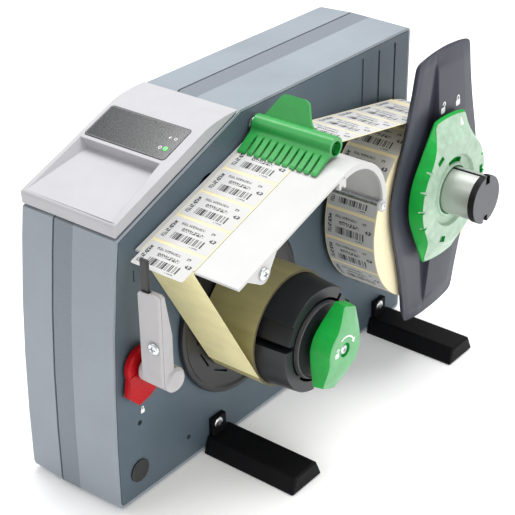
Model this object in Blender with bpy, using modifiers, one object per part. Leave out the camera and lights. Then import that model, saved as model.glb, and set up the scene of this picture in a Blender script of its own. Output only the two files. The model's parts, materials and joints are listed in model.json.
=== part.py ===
"""Bench label dispenser with a powered liner winder, built as separate pieces."""
import math

import bmesh
import bpy
from mathutils import Matrix, Vector

# Frame while modelling: x = 0 is the outer face of the mounting plate, y = 0 the front
# of the housing at the lower edge of the control cap, z = 0 the surface it stands on.

# General
MACHINE_NAME = "label_dispenser"
FIT_GAP = 0.0003
OVERRUN = 0.002
MERGE = 0.00001
ROUND_STEPS = 32
SMALL_ROUND_STEPS = 12

# Housing
HOUSING_WIDTH = 0.085
HOUSING_LENGTH = 0.333
HOUSING_TOP = 0.2545
HOUSING_BOTTOM = 0.0015
HOUSING_WALL = 0.0024
HOUSING_CORNER = 0.007
HOUSING_REAR_CORNER = 0.005
HOUSING_EDGE = 0.0025
FRONT_BULGE = 0.0144
FRONT_CURVE_POWER = 2.3
FRONT_STEPS = 9
SEAM_X = -0.0536
SEAM_WIDTH = 0.0014
RAMP_X = -0.0363
CROWN_LEFT = 0.0012
CROWN_RAMP = 0.0006
CROWN_RIGHT = 0.0013

# Control cap
CAP_SEAT_DROP = 0.0477
CAP_SEAT_REAR_Y = 0.1246
CAP_LIP_Y = 0.002
CAP_LIP_HEIGHT = 0.0105
CAP_BEND_Y = 0.09
CAP_BEND_DROP = 0.0035
CAP_ROUND = 0.0015
TRAY_FRONT_Y = 0.006
TRAY_BACK_Y = 0.054
TRAY_DEPTH = 0.0078
TRAY_RIM = 0.004
PANEL_FRONT_Y = 0.057
PANEL_BACK_Y = 0.0855
PANEL_LEFT_X = -0.08
PANEL_RIGHT_X = -0.0085
PANEL_THICKNESS = 0.0008
LED_X = -0.0145
LED_Y = 0.0657
LED_RADIUS = 0.0016
LED_DEPTH = 0.003
LED_RISE = 0.0008

# Mounting plate
PLATE_THICKNESS = 0.003
GROOVE_DEPTH = 0.0009
GROOVE_WIDTH = 0.0022
GROOVE_COUNT = 3
GROOVE_PITCH = 0.02145
GROOVE_SETBACK = 0.0221
GROOVE_TOP_DROP = 0.0085
GROOVE_LENGTH = 0.19
SLIT_Y = 0.015
SLIT_Z = 0.1755
SLIT_WIDTH = 0.001
SLIT_LENGTH = 0.0085
UPPER_HOLE_Y = 0.0119
UPPER_HOLE_Z = 0.0631
LOWER_HOLE_Y = 0.0598
LOWER_HOLE_Z = 0.0233
PLATE_HOLE_RADIUS = 0.002
CABLE_HOLE_Y = 0.0906
CABLE_HOLE_DROP = 0.0485
CABLE_HOLE_RADIUS = 0.0132
PLUG_Y = 0.0087
PLUG_Z = 0.0253
PLUG_RADIUS = 0.008
PLUG_HEAD = 0.0008

# Feet and pads
FOOT_FRONT_Y = 0.0738
FOOT_REAR_SETBACK = 0.0511
FOOT_LENGTH = 0.0823
FOOT_WIDTH = 0.0346
FOOT_HEIGHT = 0.0132
FOOT_DRAFT = 0.0053
FOOT_END_DRAFT = 0.0008
FOOT_ROUND = 0.0012
FOOT_TAB_START = 0.0078
FOOT_TAB_WIDTH = 0.0142
FOOT_TAB_TOP = 0.027
FOOT_TAB_THICKNESS = 0.0045
FOOT_SCREW_Y = 0.0138
FOOT_SCREW_Z = 0.0223
FOOT_SCREW_RADIUS = 0.0042
FOOT_SCREW_HEAD = 0.0026
FOOT_SCREW_SHANK = 0.002
PAD_WIDTH = 0.012
PAD_SIDE_INSET = 0.012
PAD_END_INSET = 0.028

# Winder
WINDER_Y = 0.1162
WINDER_Z = 0.105
SPINDLE_RADIUS = 0.006
SPINDLE_INNER_X = -0.053
SPINDLE_OUTER_X = 0.0745
RUNNING_GAP = 0.00008
BEARING_RADIUS = 0.013
BEARING_FLANGE_RADIUS = 0.019
BEARING_FLANGE = 0.003
BEARING_LENGTH = 0.024
FLANGE_RADIUS = 0.0634
FLANGE_THICKNESS = 0.0026
FLANGE_STAND_OFF = 0.0009
FLANGE_RIM = 0.0012
FLANGE_RIM_WIDTH = 0.004
FLANGE_SLOT_COUNT = 12
FLANGE_SLOT_RADIUS = 0.046
FLANGE_SLOT_WIDTH = 0.0016
FLANGE_SLOT_LENGTH = 0.016
DRUM_LENGTH = 0.0694
DRUM_RADIUS = 0.0408
DRUM_STEP = 0.0036
JAW_INNER_RADIUS = 0.0305
JAW_COUNT = 3
JAW_MAIN_ANGLE = math.radians(92)
JAW_TAIL_ANGLE = math.radians(20)
JAW_START_ANGLE = math.radians(169)
JAW_ARC_STEPS = 12
JAW_TAIL_STEPS = 3
JAW_TRAVEL = 0.0015
CORE_RADIUS = 0.0285
CORE_RIB_WIDTH = 0.0055
CORE_RIB_RADIUS = 0.0345
CORE_DISC_RADIUS = 0.0265
CORE_DISC_THICKNESS = 0.0014
LINER_WIDTH = 0.044
LINER_WOUND_THICKNESS = 0.0017
KNOB_START_X = 0.0768
KNOB_DEPTH = 0.0174
KNOB_HUB_RADIUS = 0.0195
KNOB_WING_RADIUS = 0.0345
KNOB_WING_HALF_WIDTH = 0.0075
KNOB_WING_ANGLE = math.radians(72)
KNOB_FRONT_SHARE = 0.86
KNOB_COLLAR_RADIUS = 0.012
KNOB_SCREW_RADIUS = 0.004
KNOB_SCREW_HEAD = 0.0025
KNOB_SCREW_SHANK = 0.0016
KNOB_SOCKET_RADIUS = 0.0052

# Winder drive inside the housing
WINDER_PULLEY_RADIUS = 0.03
MOTOR_PULLEY_RADIUS = 0.01
PULLEY_WIDTH = 0.009
PULLEY_RIM = 0.0016
PULLEY_RIM_WIDTH = 0.0014
BELT_THICKNESS = 0.0014
BELT_STEPS = 14
MOTOR_CLEARANCE = 0.026
MOTOR_Z = 0.062
MOTOR_SIZE = 0.042
MOTOR_LENGTH = 0.034
MOTOR_CHAMFER = 0.004
MOTOR_SHAFT_RADIUS = 0.0025
MOTOR_SHAFT_LENGTH = 0.0145
PULLEY_BACK_X = -0.0398

# Electronics inside the housing
BOARD_SETBACK = 0.018
BOARD_LENGTH = 0.09
BOARD_TOP_DROP = 0.0195
BOARD_HEIGHT = 0.07
BOARD_THICKNESS = 0.0016
BOARD_STAND_OFF = 0.007
BOARD_POST_RADIUS = 0.003
BOARD_POST_INSET = 0.006
BOARD_CHIP_SIZE = 0.018
BOARD_CHIP_HEIGHT = 0.003
SUPPLY_BOX_SETBACK = 0.02
SUPPLY_BOX_LENGTH = 0.061
SUPPLY_BOX_Z = 0.03
SUPPLY_BOX_HEIGHT = 0.066
SUPPLY_BOX_DEPTH = 0.028
SUPPLY_BOX_ROUND = 0.002
MOTOR_Y = HOUSING_LENGTH - SUPPLY_BOX_SETBACK - SUPPLY_BOX_LENGTH - MOTOR_CLEARANCE - MOTOR_SIZE / 2
INLET_X = -0.028
INLET_Z = 0.052
INLET_WIDTH = 0.03
INLET_HEIGHT = 0.06
INLET_FLANGE = 0.0018
INLET_FLANGE_MARGIN = 0.003
INLET_DEPTH = 0.009
SOCKET_WIDTH = 0.024
SOCKET_HEIGHT = 0.0165
SOCKET_DEPTH = 0.0075
SOCKET_DROP = 0.0135
SOCKET_PIN = 0.002
SOCKET_PIN_SPACING = 0.007
SWITCH_RISE = 0.0145
SWITCH_WIDTH = 0.013
SWITCH_RADIUS = 0.0075
SWITCH_SETBACK = 0.0006
SWITCH_GAP = 0.0004
SWITCH_POCKET_DEPTH = 0.0086
SWITCH_TILT = math.radians(8)
SWITCH_STEPS = 16

# Supply side
SUPPLY_SETBACK = 0.0447
SUPPLY_Y = HOUSING_LENGTH - SUPPLY_SETBACK
SUPPLY_Z = 0.1517
TUBE_RADIUS = 0.018
TUBE_WALL = 0.002
TUBE_END_X = 0.0977
TUBE_GROOVE_WIDTH = 0.003
TUBE_GROOVE_DEPTH = 0.0011
TUBE_BASE_RADIUS = 0.03
TUBE_BASE_THICKNESS = 0.0035
END_CAP_RADIUS = 0.0188
END_CAP_THICKNESS = 0.0024
END_CAP_PLUG = 0.006
END_CAP_NOTCH_WIDTH = 0.0042
END_CAP_NOTCH_DEPTH = 0.0038
PAPER_CORE_INNER = 0.0381
PAPER_CORE_WALL = 0.0035
ROLL_RADIUS = 0.0733
WEB_LEFT_X = 0.005
WEB_WIDTH = 0.045
STOP_HALF_LENGTH = 0.1095
STOP_HALF_WIDTH = 0.061
STOP_START_X = 0.0508
STOP_THICKNESS = 0.0042
STOP_RIDGE_HEIGHT = 0.0022
STOP_ROUND = 0.0016
STOP_CLEARANCE = 0.0004
STOP_HUB_RADIUS = 0.026
STOP_HUB_HEIGHT = 0.0028
# Half of the stop's outline, from its waist up, as shares of its half sizes (y, z).
STOP_OUTLINE_SHARES = (
    (1.0, 0.0), (0.985, 0.1), (0.93, 0.24), (0.78, 0.5), (0.66, 0.76), (0.61, 0.92),
    (0.57, 0.968), (0.36, 0.99), (0.12, 1.0),
)
STOP_RIDGE_SHARES = (
    (0.62, 0.0), (0.52, 0.3), (0.16, 0.4), (0.1, 0.82), (0.04, 0.86),
)
STOP_KNOB_HALF_LENGTH = 0.062
STOP_KNOB_RADIUS = 0.047
STOP_KNOB_WING_HALF_WIDTH = 0.021
STOP_KNOB_ANGLE = math.radians(82)
STOP_KNOB_DEPTH = 0.0135
STOP_KNOB_FRONT_SHARE = 0.84
STOP_KNOB_DISH_RADIUS = 0.028
STOP_KNOB_DISH_DEPTH = 0.003
STOP_KNOB_SLOT_LENGTH = 0.008
STOP_KNOB_SLOT_WIDTH = 0.004
STOP_KNOB_SLOT_RADIUS = 0.037

# Dispensing table with its curved guide
TABLE_LEFT_X = 0.001
TABLE_RIGHT_X = 0.0848
TABLE_THICKNESS = 0.002
TABLE_SLOPE = math.radians(18)
TABLE_LENGTH = 0.1131
NOSE_RADIUS = 0.001
NOSE_STEPS = 5
ARCH_Y = 0.137
ARCH_Z = 0.193
ARCH_RADIUS = 0.0385
ARCH_STEPS = 16
ARCH_LEG = 0.009
ARCH_RIM_WIDTH = 0.0022
ARCH_RIM_DEPTH = 0.0045
EAR_THICKNESS = 0.0022
EAR_SETBACK = 0.02305
EAR_DROP = 0.0066
EAR_RADIUS = 0.0072
REAR_EAR_DROP = 0.004
REAR_EAR_SET_IN = 0.0042
REAR_EAR_RADIUS = 0.0042
BAR_RADIUS = 0.0042
REAR_BAR_RADIUS = 0.0018
TABLE_SCREW_RADIUS = 0.0044
TABLE_SCREW_HEAD = 0.002
REAR_SCREW_RADIUS = 0.0026
HOOK_Y = 0.1235
HOOK_LENGTH = 0.0045
HOOK_WIDTH = 0.0075
HOOK_NOTCH = 0.0028

# Pressure comb
COMB_Y = 0.1371
COMB_Z = 0.2392
COMB_LEFT_X = 0.0029
COMB_RIGHT_X = 0.0695
COMB_HUB_RADIUS = 0.0065
COMB_AXLE_RADIUS = 0.0028
COMB_AXLE_END_X = 0.062
COMB_AXLE_HEAD_RADIUS = 0.005
COMB_AXLE_HEAD = 0.0015
COMB_TIP_Y = 0.1152
COMB_TIP_LIFT = 0.0007
COMB_TIP_THICKNESS = 0.0022
COMB_FINGER_COUNT = 11
COMB_SLOT_WIDTH = 0.0016
COMB_SLOT_LENGTH = 0.0125
COMB_TAB_LEAN = math.radians(27)
COMB_TAB_HEIGHT = 0.026
COMB_TAB_THICKNESS = 0.0024
COMB_TAB_LEFT_X = 0.005
COMB_TAB_WIDTH = 0.042
# Outline of the handle tab as shares of its width and height.
COMB_TAB_SHARES = ((0.0, 0.2), (0.26, 0.8), (0.39, 1.0), (0.75, 1.0), (0.86, 0.86), (1.0, 0.2))

# Label stock
WEB_THICKNESS = 0.00025
LABEL_TIP_REACH = 0.0114

# Label sensor arm and its clamp
PIVOT_Y = 0.0125
PIVOT_Z = 0.1115
STUD_RADIUS = 0.003
STUD_END_X = 0.029
STUD_BASE_RADIUS = 0.0065
STUD_BASE_THICKNESS = 0.0012
ARM_FRONT_Y = 0.0
ARM_REAR_Y = 0.012
ARM_SPLIT_Y = 0.0026
ARM_TOP_DROP = 0.0157
ARM_TOP_DEPTH = 0.0058
ARM_TOP_LEFT_X = 0.017
ARM_TOP_WIDTH = 0.0175
ARM_SHOULDER_DROP = 0.032
ARM_BOSS_RADIUS = 0.0088
ARM_BOSS_LEFT_X = 0.0082
ARM_BOSS_WIDTH = 0.0275
ARM_ROUND = 0.0018
FINGER_INSET_X = 0.0015
FINGER_WIDTH = 0.0067
FINGER_INSET_Y = 0.0016
FINGER_THICKNESS = 0.0026
FINGER_RISE = 0.0226
FINGER_DEPTH = 0.026
ARM_SCREW_INSET_X = 0.0069
ARM_SCREW_RISE = 0.0281
ARM_SCREW_RADIUS = 0.0045
ARM_SCREW_HEAD = 0.0016
ARM_SCREW_SHANK = 0.0015
CLAMP_START_X = 0.0015
CLAMP_THICKNESS = 0.0058
CLAMP_RADIUS = 0.0145
CLAMP_HANDLE_LENGTH = 0.0268
CLAMP_ROUND = 0.0012
# Outline of the clamp's handle from its pivot: back and down, as shares of its length.
CLAMP_HANDLE_SHARES = (
    (-0.5, 0.1), (-0.6, 0.66), (-0.28, 1.0), (0.1, 0.92), (0.34, 0.8), (0.38, 0.35), (0.0, 0.0),
)

# Middle of the whole machine, which becomes the origin
CENTRE_X = (TUBE_END_X + FIT_GAP + END_CAP_THICKNESS - HOUSING_WIDTH) / 2
CENTRE_Y = (SUPPLY_Y + ROLL_RADIUS - FRONT_BULGE) / 2

COLORS = {
    "housing_grey": ((0.33, 0.37, 0.42), 0.45, 0.0),
    "plate_grey": ((0.10, 0.13, 0.16), 0.5, 0.0),
    "cap_grey": ((0.66, 0.66, 0.68), 0.45, 0.0),
    "panel_black": ((0.03, 0.03, 0.035), 0.3, 0.0),
    "led_green": ((0.1, 0.7, 0.25), 0.3, 0.0),
    "black_plastic": ((0.012, 0.012, 0.014), 0.4, 0.0),
    "foot_black": ((0.008, 0.008, 0.009), 0.55, 0.0),
    "dark_grey": ((0.07, 0.075, 0.085), 0.45, 0.0),
    "green_plastic": ((0.01, 0.38, 0.09), 0.35, 0.0),
    "red_plastic": ((0.7, 0.01, 0.02), 0.35, 0.0),
    "sensor_grey": ((0.45, 0.44, 0.45), 0.5, 0.0),
    "white_sheet": ((0.85, 0.85, 0.86), 0.4, 0.0),
    "aluminium": ((0.7, 0.7, 0.7), 0.3, 1.0),
    "steel": ((0.6, 0.6, 0.6), 0.3, 1.0),
    "cap_dark": ((0.2, 0.2, 0.22), 0.5, 0.0),
    "label_white": ((0.9, 0.9, 0.88), 0.6, 0.0),
    "liner_yellow": ((0.75, 0.68, 0.38), 0.6, 0.0),
    "roll_cream": ((0.9, 0.82, 0.6), 0.7, 0.0),
    "card_brown": ((0.45, 0.3, 0.17), 0.8, 0.0),
    "board_green": ((0.02, 0.2, 0.07), 0.5, 0.0),
    "rubber_black": ((0.02, 0.02, 0.02), 0.8, 0.0),
}

# Maps an outline drawn in its own plane, pushed along its third axis, into the machine.
TURNED = {
    "X": Matrix(((0, 0, 1, 0), (1, 0, 0, 0), (0, 1, 0, 0), (0, 0, 0, 1))),
    "Y": Matrix(((0, 1, 0, 0), (0, 0, 1, 0), (1, 0, 0, 0), (0, 0, 0, 1))),
    "Z": Matrix.Identity(4),
}


def clear_scene():
    for thing in list(bpy.data.objects):
        bpy.data.objects.remove(thing)


def make_materials():
    for name, (color, roughness, metallic) in COLORS.items():
        material = bpy.data.materials.new(name)
        material.use_nodes = True
        shader = material.node_tree.nodes["Principled BSDF"]
        shader.inputs["Base Color"].default_value = (*color, 1.0)
        shader.inputs["Roughness"].default_value = roughness
        shader.inputs["Metallic"].default_value = metallic


def make_collections():
    for name in (MACHINE_NAME, "cutters"):
        collection = bpy.data.collections.new(name)
        bpy.context.scene.collection.children.link(collection)


def make_root():
    root = bpy.data.objects.new("machine_frame", None)
    root.location = (-CENTRE_X, -CENTRE_Y, 0)
    bpy.data.collections[MACHINE_NAME].objects.link(root)
    return root


def part(name, work, color, origin=(0, 0, 0)):
    """Turns a working mesh into a named piece with its origin at the given point."""
    bmesh.ops.remove_doubles(work, verts=work.verts, dist=MERGE)
    bmesh.ops.recalc_face_normals(work, faces=work.faces)
    bmesh.ops.translate(work, verts=work.verts, vec=-Vector(origin))
    mesh = bpy.data.meshes.new(name)
    work.to_mesh(mesh)
    work.free()
    mesh.materials.append(bpy.data.materials[color])
    mesh.shade_smooth()
    mesh.set_sharp_from_angle(angle=math.radians(35))
    piece = bpy.data.objects.new(name, mesh)
    piece.location = origin
    piece.parent = bpy.data.objects["machine_frame"]
    bpy.data.collections[MACHINE_NAME].objects.link(piece)
    return piece


def cutter(name, work, owner):
    """A closed helper solid that travels with the piece it cuts or joins."""
    bmesh.ops.remove_doubles(work, verts=work.verts, dist=MERGE)
    bmesh.ops.recalc_face_normals(work, faces=work.faces)
    bmesh.ops.translate(work, verts=work.verts, vec=-owner.location)
    mesh = bpy.data.meshes.new(name)
    work.to_mesh(mesh)
    work.free()
    helper = bpy.data.objects.new(name, mesh)
    helper.location = owner.location
    helper.parent = bpy.data.objects["machine_frame"]
    helper.hide_render = True
    helper.display_type = "WIRE"
    bpy.data.collections["cutters"].objects.link(helper)
    return helper


def combine(piece, work, operation, label):
    helper = cutter(piece.name + "_" + label, work, piece)
    modifier = piece.modifiers.new(label, "BOOLEAN")
    modifier.operation = operation
    modifier.object = helper


def cut(piece, work, label):
    combine(piece, work, "DIFFERENCE", label)


def join(piece, work, label):
    combine(piece, work, "UNION", label)


def soften(piece, width, segments=2, angle=math.radians(40)):
    modifier = piece.modifiers.new("round", "BEVEL")
    modifier.width = width
    modifier.segments = segments
    modifier.limit_method = "ANGLE"
    modifier.angle_limit = angle


def box(low, high):
    work = bmesh.new()
    low = Vector(low)
    high = Vector(high)
    bmesh.ops.create_cube(work, size=1)
    bmesh.ops.scale(work, verts=work.verts, vec=high - low)
    bmesh.ops.translate(work, verts=work.verts, vec=(low + high) / 2)
    return work


def rod(start_x, end_x, y, z, radius, steps=ROUND_STEPS, end_radius=None):
    """A cylinder or cone along x."""
    work = bmesh.new()
    bmesh.ops.create_cone(
        work, cap_ends=True, segments=steps, radius1=radius,
        radius2=radius if end_radius is None else end_radius, depth=end_x - start_x,
        matrix=TURNED["X"],
    )
    bmesh.ops.translate(work, verts=work.verts, vec=((start_x + end_x) / 2, y, z))
    return work


def upright_rod(x, y, low_z, high_z, radius, steps=SMALL_ROUND_STEPS):
    work = bmesh.new()
    bmesh.ops.create_cone(
        work, cap_ends=True, segments=steps, radius1=radius, radius2=radius, depth=high_z - low_z,
    )
    bmesh.ops.translate(work, verts=work.verts, vec=(x, y, (low_z + high_z) / 2))
    return work


def turned(profile, y, z, steps=ROUND_STEPS):
    """A closed profile of (x, radius) points turned about an axis along x."""
    mesh = bpy.data.meshes.new("profile")
    count = len(profile)
    edges = [(index, (index + 1) % count) for index in range(count)]
    if profile[0][1] == 0 and profile[-1][1] == 0:
        edges.pop()
    mesh.from_pydata([(x, 0, radius) for x, radius in profile], edges, [])
    holder = bpy.data.objects.new("profile", mesh)
    bpy.context.scene.collection.objects.link(holder)
    screw = holder.modifiers.new("turn", "SCREW")
    screw.axis = "X"
    screw.steps = steps
    screw.render_steps = steps
    screw.use_merge_vertices = True
    screw.merge_threshold = MERGE
    work = evaluated(holder)
    bmesh.ops.translate(work, verts=work.verts, vec=(0, y, z))
    return work


def evaluated(holder):
    """The finished mesh of a helper object, which is then removed."""
    bpy.context.view_layer.update()
    depsgraph = bpy.context.evaluated_depsgraph_get()
    mesh = bpy.data.meshes.new_from_object(holder.evaluated_get(depsgraph))
    data = holder.data
    bpy.data.objects.remove(holder)
    if isinstance(data, bpy.types.Curve):
        bpy.data.curves.remove(data)
    else:
        bpy.data.meshes.remove(data)
    work = bmesh.new()
    work.from_mesh(mesh)
    bpy.data.meshes.remove(mesh)
    bmesh.ops.remove_doubles(work, verts=work.verts, dist=MERGE)
    bmesh.ops.recalc_face_normals(work, faces=work.faces)
    return work


def slab(loops, low, high, along="X"):
    """Flat outlines with a thickness. Points are (y, z) along x, or (x, z) along y."""
    curve = bpy.data.curves.new("outline", "CURVE")
    curve.dimensions = "2D"
    curve.fill_mode = "BOTH"
    curve.extrude = (high - low) / 2
    for loop in loops:
        spline = curve.splines.new("POLY")
        spline.points.add(len(loop) - 1)
        for point, (first, second) in zip(spline.points, loop):
            point.co = (second, first, 0, 1) if along == "Y" else (first, second, 0, 1)
        spline.use_cyclic_u = True
    holder = bpy.data.objects.new("outline", curve)
    bpy.context.scene.collection.objects.link(holder)
    work = evaluated(holder)
    middle = Matrix.Translation((0, 0, (low + high) / 2))
    bmesh.ops.transform(work, verts=work.verts, matrix=TURNED[along] @ middle)
    return work


def loft(sections, close_start=True, close_end=True):
    """Skins sections of (x, outline), each outline with the same number of points."""
    work = bmesh.new()
    rings = [[work.verts.new((x, y, z)) for y, z in loop] for x, loop in sections]
    count = len(rings[0])
    for near, far in zip(rings, rings[1:]):
        for index in range(count):
            after = (index + 1) % count
            work.faces.new((near[index], near[after], far[after], far[index]))
    if close_start:
        work.faces.new(list(reversed(rings[0])))
    if close_end:
        work.faces.new(rings[-1])
    return work


def arc(centre, radius, start, end, steps):
    return [
        (
            centre[0] + radius * math.cos(start + (end - start) * step / steps),
            centre[1] + radius * math.sin(start + (end - start) * step / steps),
        )
        for step in range(steps + 1)
    ]


def inset(loop, distance):
    """Moves a counter-clockwise closed outline inwards by a distance."""
    result = []
    count = len(loop)
    for index in range(count):
        before = Vector(loop[index - 1])
        here = Vector(loop[index])
        after = Vector(loop[(index + 1) % count])
        into = (here - before).normalized()
        out = (after - here).normalized()
        normal_in = Vector((-into.y, into.x))
        normal_out = Vector((-out.y, out.x))
        middle = (normal_in + normal_out).normalized()
        moved = here + middle * distance / middle.dot(normal_in)
        result.append((moved.x, moved.y))
    return result


def shrunk(loop, centre, share):
    return [
        (centre[0] + (y - centre[0]) * share, centre[1] + (z - centre[1]) * share)
        for y, z in loop
    ]


def ribbon(path, thickness):
    """A closed outline of constant thickness about an open path of (y, z) points."""
    left = []
    right = []
    for index, point in enumerate(path):
        here = Vector(point)
        before = Vector(path[max(index - 1, 0)])
        after = Vector(path[min(index + 1, len(path) - 1)])
        along = (after - before).normalized()
        side = Vector((-along.y, along.x)) * thickness / 2
        left.append(tuple(here + side))
        right.append(tuple(here - side))
    return left + list(reversed(right))


def tangent_angle(first, first_radius, second, second_radius):
    """Direction from both centres to a band that keeps the two circles on its left."""
    across = Vector(second) - Vector(first)
    swing = math.acos((first_radius - second_radius) / across.length)
    return math.atan2(across.y, across.x) - swing


def on_circle(centre, radius, angle):
    return (centre[0] + radius * math.cos(angle), centre[1] + radius * math.sin(angle))


def housing_loop():
    """Side outline of the housing, counter-clockwise from the bottom front corner."""
    bottom = HOUSING_BOTTOM
    corner = HOUSING_CORNER
    rear = HOUSING_LENGTH
    top = HOUSING_TOP
    edge = HOUSING_REAR_CORNER
    front = -FRONT_BULGE
    quarter = math.pi / 2
    steps = 3
    loop = arc((rear - edge, bottom + edge), edge, -quarter, 0, steps)
    loop += arc((rear - edge, top - edge), edge, 0, quarter, steps)
    loop.append((CAP_SEAT_REAR_Y, top))
    seat = top - CAP_SEAT_DROP
    for step in range(FRONT_STEPS):
        z = seat + (bottom + corner - seat) * step / FRONT_STEPS
        share = (z - bottom) / (seat - bottom)
        loop.append((front * (1 - share ** FRONT_CURVE_POWER), z))
    loop += arc((front + corner, bottom + corner), corner, 2 * quarter, 3 * quarter, steps)
    return loop


def plate_loop():
    return inset(housing_loop(), CROWN_RIGHT + HOUSING_WALL + FIT_GAP)


def shell(name, sections, close_start):
    piece = part(name, loft(sections, close_start, False), "housing_grey")
    modifier = piece.modifiers.new("wall", "SOLIDIFY")
    modifier.thickness = HOUSING_WALL
    modifier.offset = -1
    modifier.use_even_offset = True
    return piece


def make_housing():
    loop = housing_loop()
    steps = 3
    sections = []
    for step in range(steps + 1):
        turn = math.pi / 2 * step / steps
        x = -HOUSING_WIDTH + HOUSING_EDGE * (1 - math.sin(turn))
        sections.insert(0, (x, inset(loop, CROWN_LEFT + HOUSING_EDGE * (1 - math.cos(turn)))))
    sections.sort(key=lambda section: section[0])
    sections.append((SEAM_X - SEAM_WIDTH / 2, loop))
    shell("left_cover", sections, True)

    housing = shell("main_housing", [
        (SEAM_X + SEAM_WIDTH / 2, loop),
        (RAMP_X, inset(loop, CROWN_RAMP)),
        (0, inset(loop, CROWN_RIGHT)),
    ], False)
    width = INLET_WIDTH / 2 + FIT_GAP
    height = INLET_HEIGHT / 2 + FIT_GAP
    cut(housing, box(
        (INLET_X - width, HOUSING_LENGTH - HOUSING_WALL - HOUSING_EDGE - OVERRUN, INLET_Z - height),
        (INLET_X + width, HOUSING_LENGTH + OVERRUN, INLET_Z + height),
    ), "inlet_hole")

    outer = inset(loop, CROWN_LEFT)
    inner = inset(loop, CROWN_LEFT + HOUSING_WALL)
    half = SEAM_WIDTH / 2 - FIT_GAP
    part("seam_gasket", slab([outer, inner], SEAM_X - half, SEAM_X + half), "rubber_black")


def cap_seat_z(y):
    return HOUSING_TOP - CAP_SEAT_DROP * (1 - y / CAP_SEAT_REAR_Y)


def cap_top_z(y):
    lip_z = HOUSING_TOP - CAP_SEAT_DROP + CAP_LIP_HEIGHT
    bend_z = HOUSING_TOP - CAP_BEND_DROP
    return lip_z + (bend_z - lip_z) * (y - CAP_LIP_Y) / (CAP_BEND_Y - CAP_LIP_Y)


def make_cap():
    gap = FIT_GAP * 2
    back_y = CAP_SEAT_REAR_Y - CAP_ROUND * 2
    loop = [
        (CROWN_RIGHT, cap_seat_z(CROWN_RIGHT) + gap),
        (back_y, cap_seat_z(back_y) + gap),
        (back_y, HOUSING_TOP - FIT_GAP),
        (CAP_BEND_Y + CAP_LIP_HEIGHT, HOUSING_TOP - CAP_BEND_DROP + CAP_ROUND),
        (CAP_BEND_Y, HOUSING_TOP - CAP_BEND_DROP),
        (CAP_LIP_Y, cap_top_z(CAP_LIP_Y)),
    ]
    cap = part("control_cap", slab([loop], -HOUSING_WIDTH + CROWN_LEFT, 0), "cap_grey")
    soften(cap, CAP_ROUND, 2, math.radians(20))
    tray = [
        (TRAY_FRONT_Y - OVERRUN * 3, cap_top_z(TRAY_FRONT_Y)),
        (TRAY_FRONT_Y, cap_top_z(TRAY_FRONT_Y)),
        (TRAY_BACK_Y, cap_top_z(TRAY_BACK_Y) - TRAY_DEPTH),
        (TRAY_BACK_Y, cap_top_z(TRAY_BACK_Y) + OVERRUN),
        (TRAY_FRONT_Y - OVERRUN * 3, cap_top_z(TRAY_BACK_Y) + OVERRUN),
    ]
    cut(cap, slab([tray], -HOUSING_WIDTH + CROWN_LEFT + TRAY_RIM, -TRAY_RIM), "tray")
    depth = PANEL_THICKNESS + FIT_GAP
    seat = panel_loop(FIT_GAP, -depth, OVERRUN)
    cut(cap, slab([seat], PANEL_LEFT_X - FIT_GAP, PANEL_RIGHT_X + FIT_GAP), "panel_seat")

    panel = part("control_panel", slab(
        [panel_loop(0, -PANEL_THICKNESS, 0)], PANEL_LEFT_X, PANEL_RIGHT_X,
    ), "panel_black")
    cut(panel, led_rod(LED_RADIUS + FIT_GAP, LED_DEPTH), "led_hole")
    cut(cap, led_rod(LED_RADIUS + FIT_GAP, LED_DEPTH + FIT_GAP), "led_well")
    part("status_led", led_rod(LED_RADIUS, LED_DEPTH, LED_RISE), "led_green")


def panel_loop(margin, low, high):
    """Side outline of a thin sheet that lies on the slope of the cap."""
    front = PANEL_FRONT_Y - margin
    back = PANEL_BACK_Y + margin
    return [
        (front, cap_top_z(front) + low), (back, cap_top_z(back) + low),
        (back, cap_top_z(back) + high), (front, cap_top_z(front) + high),
    ]


def led_rod(radius, depth, rise=OVERRUN):
    skin = cap_top_z(LED_Y)
    return upright_rod(LED_X, LED_Y, skin - depth, skin + rise, radius)


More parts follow.
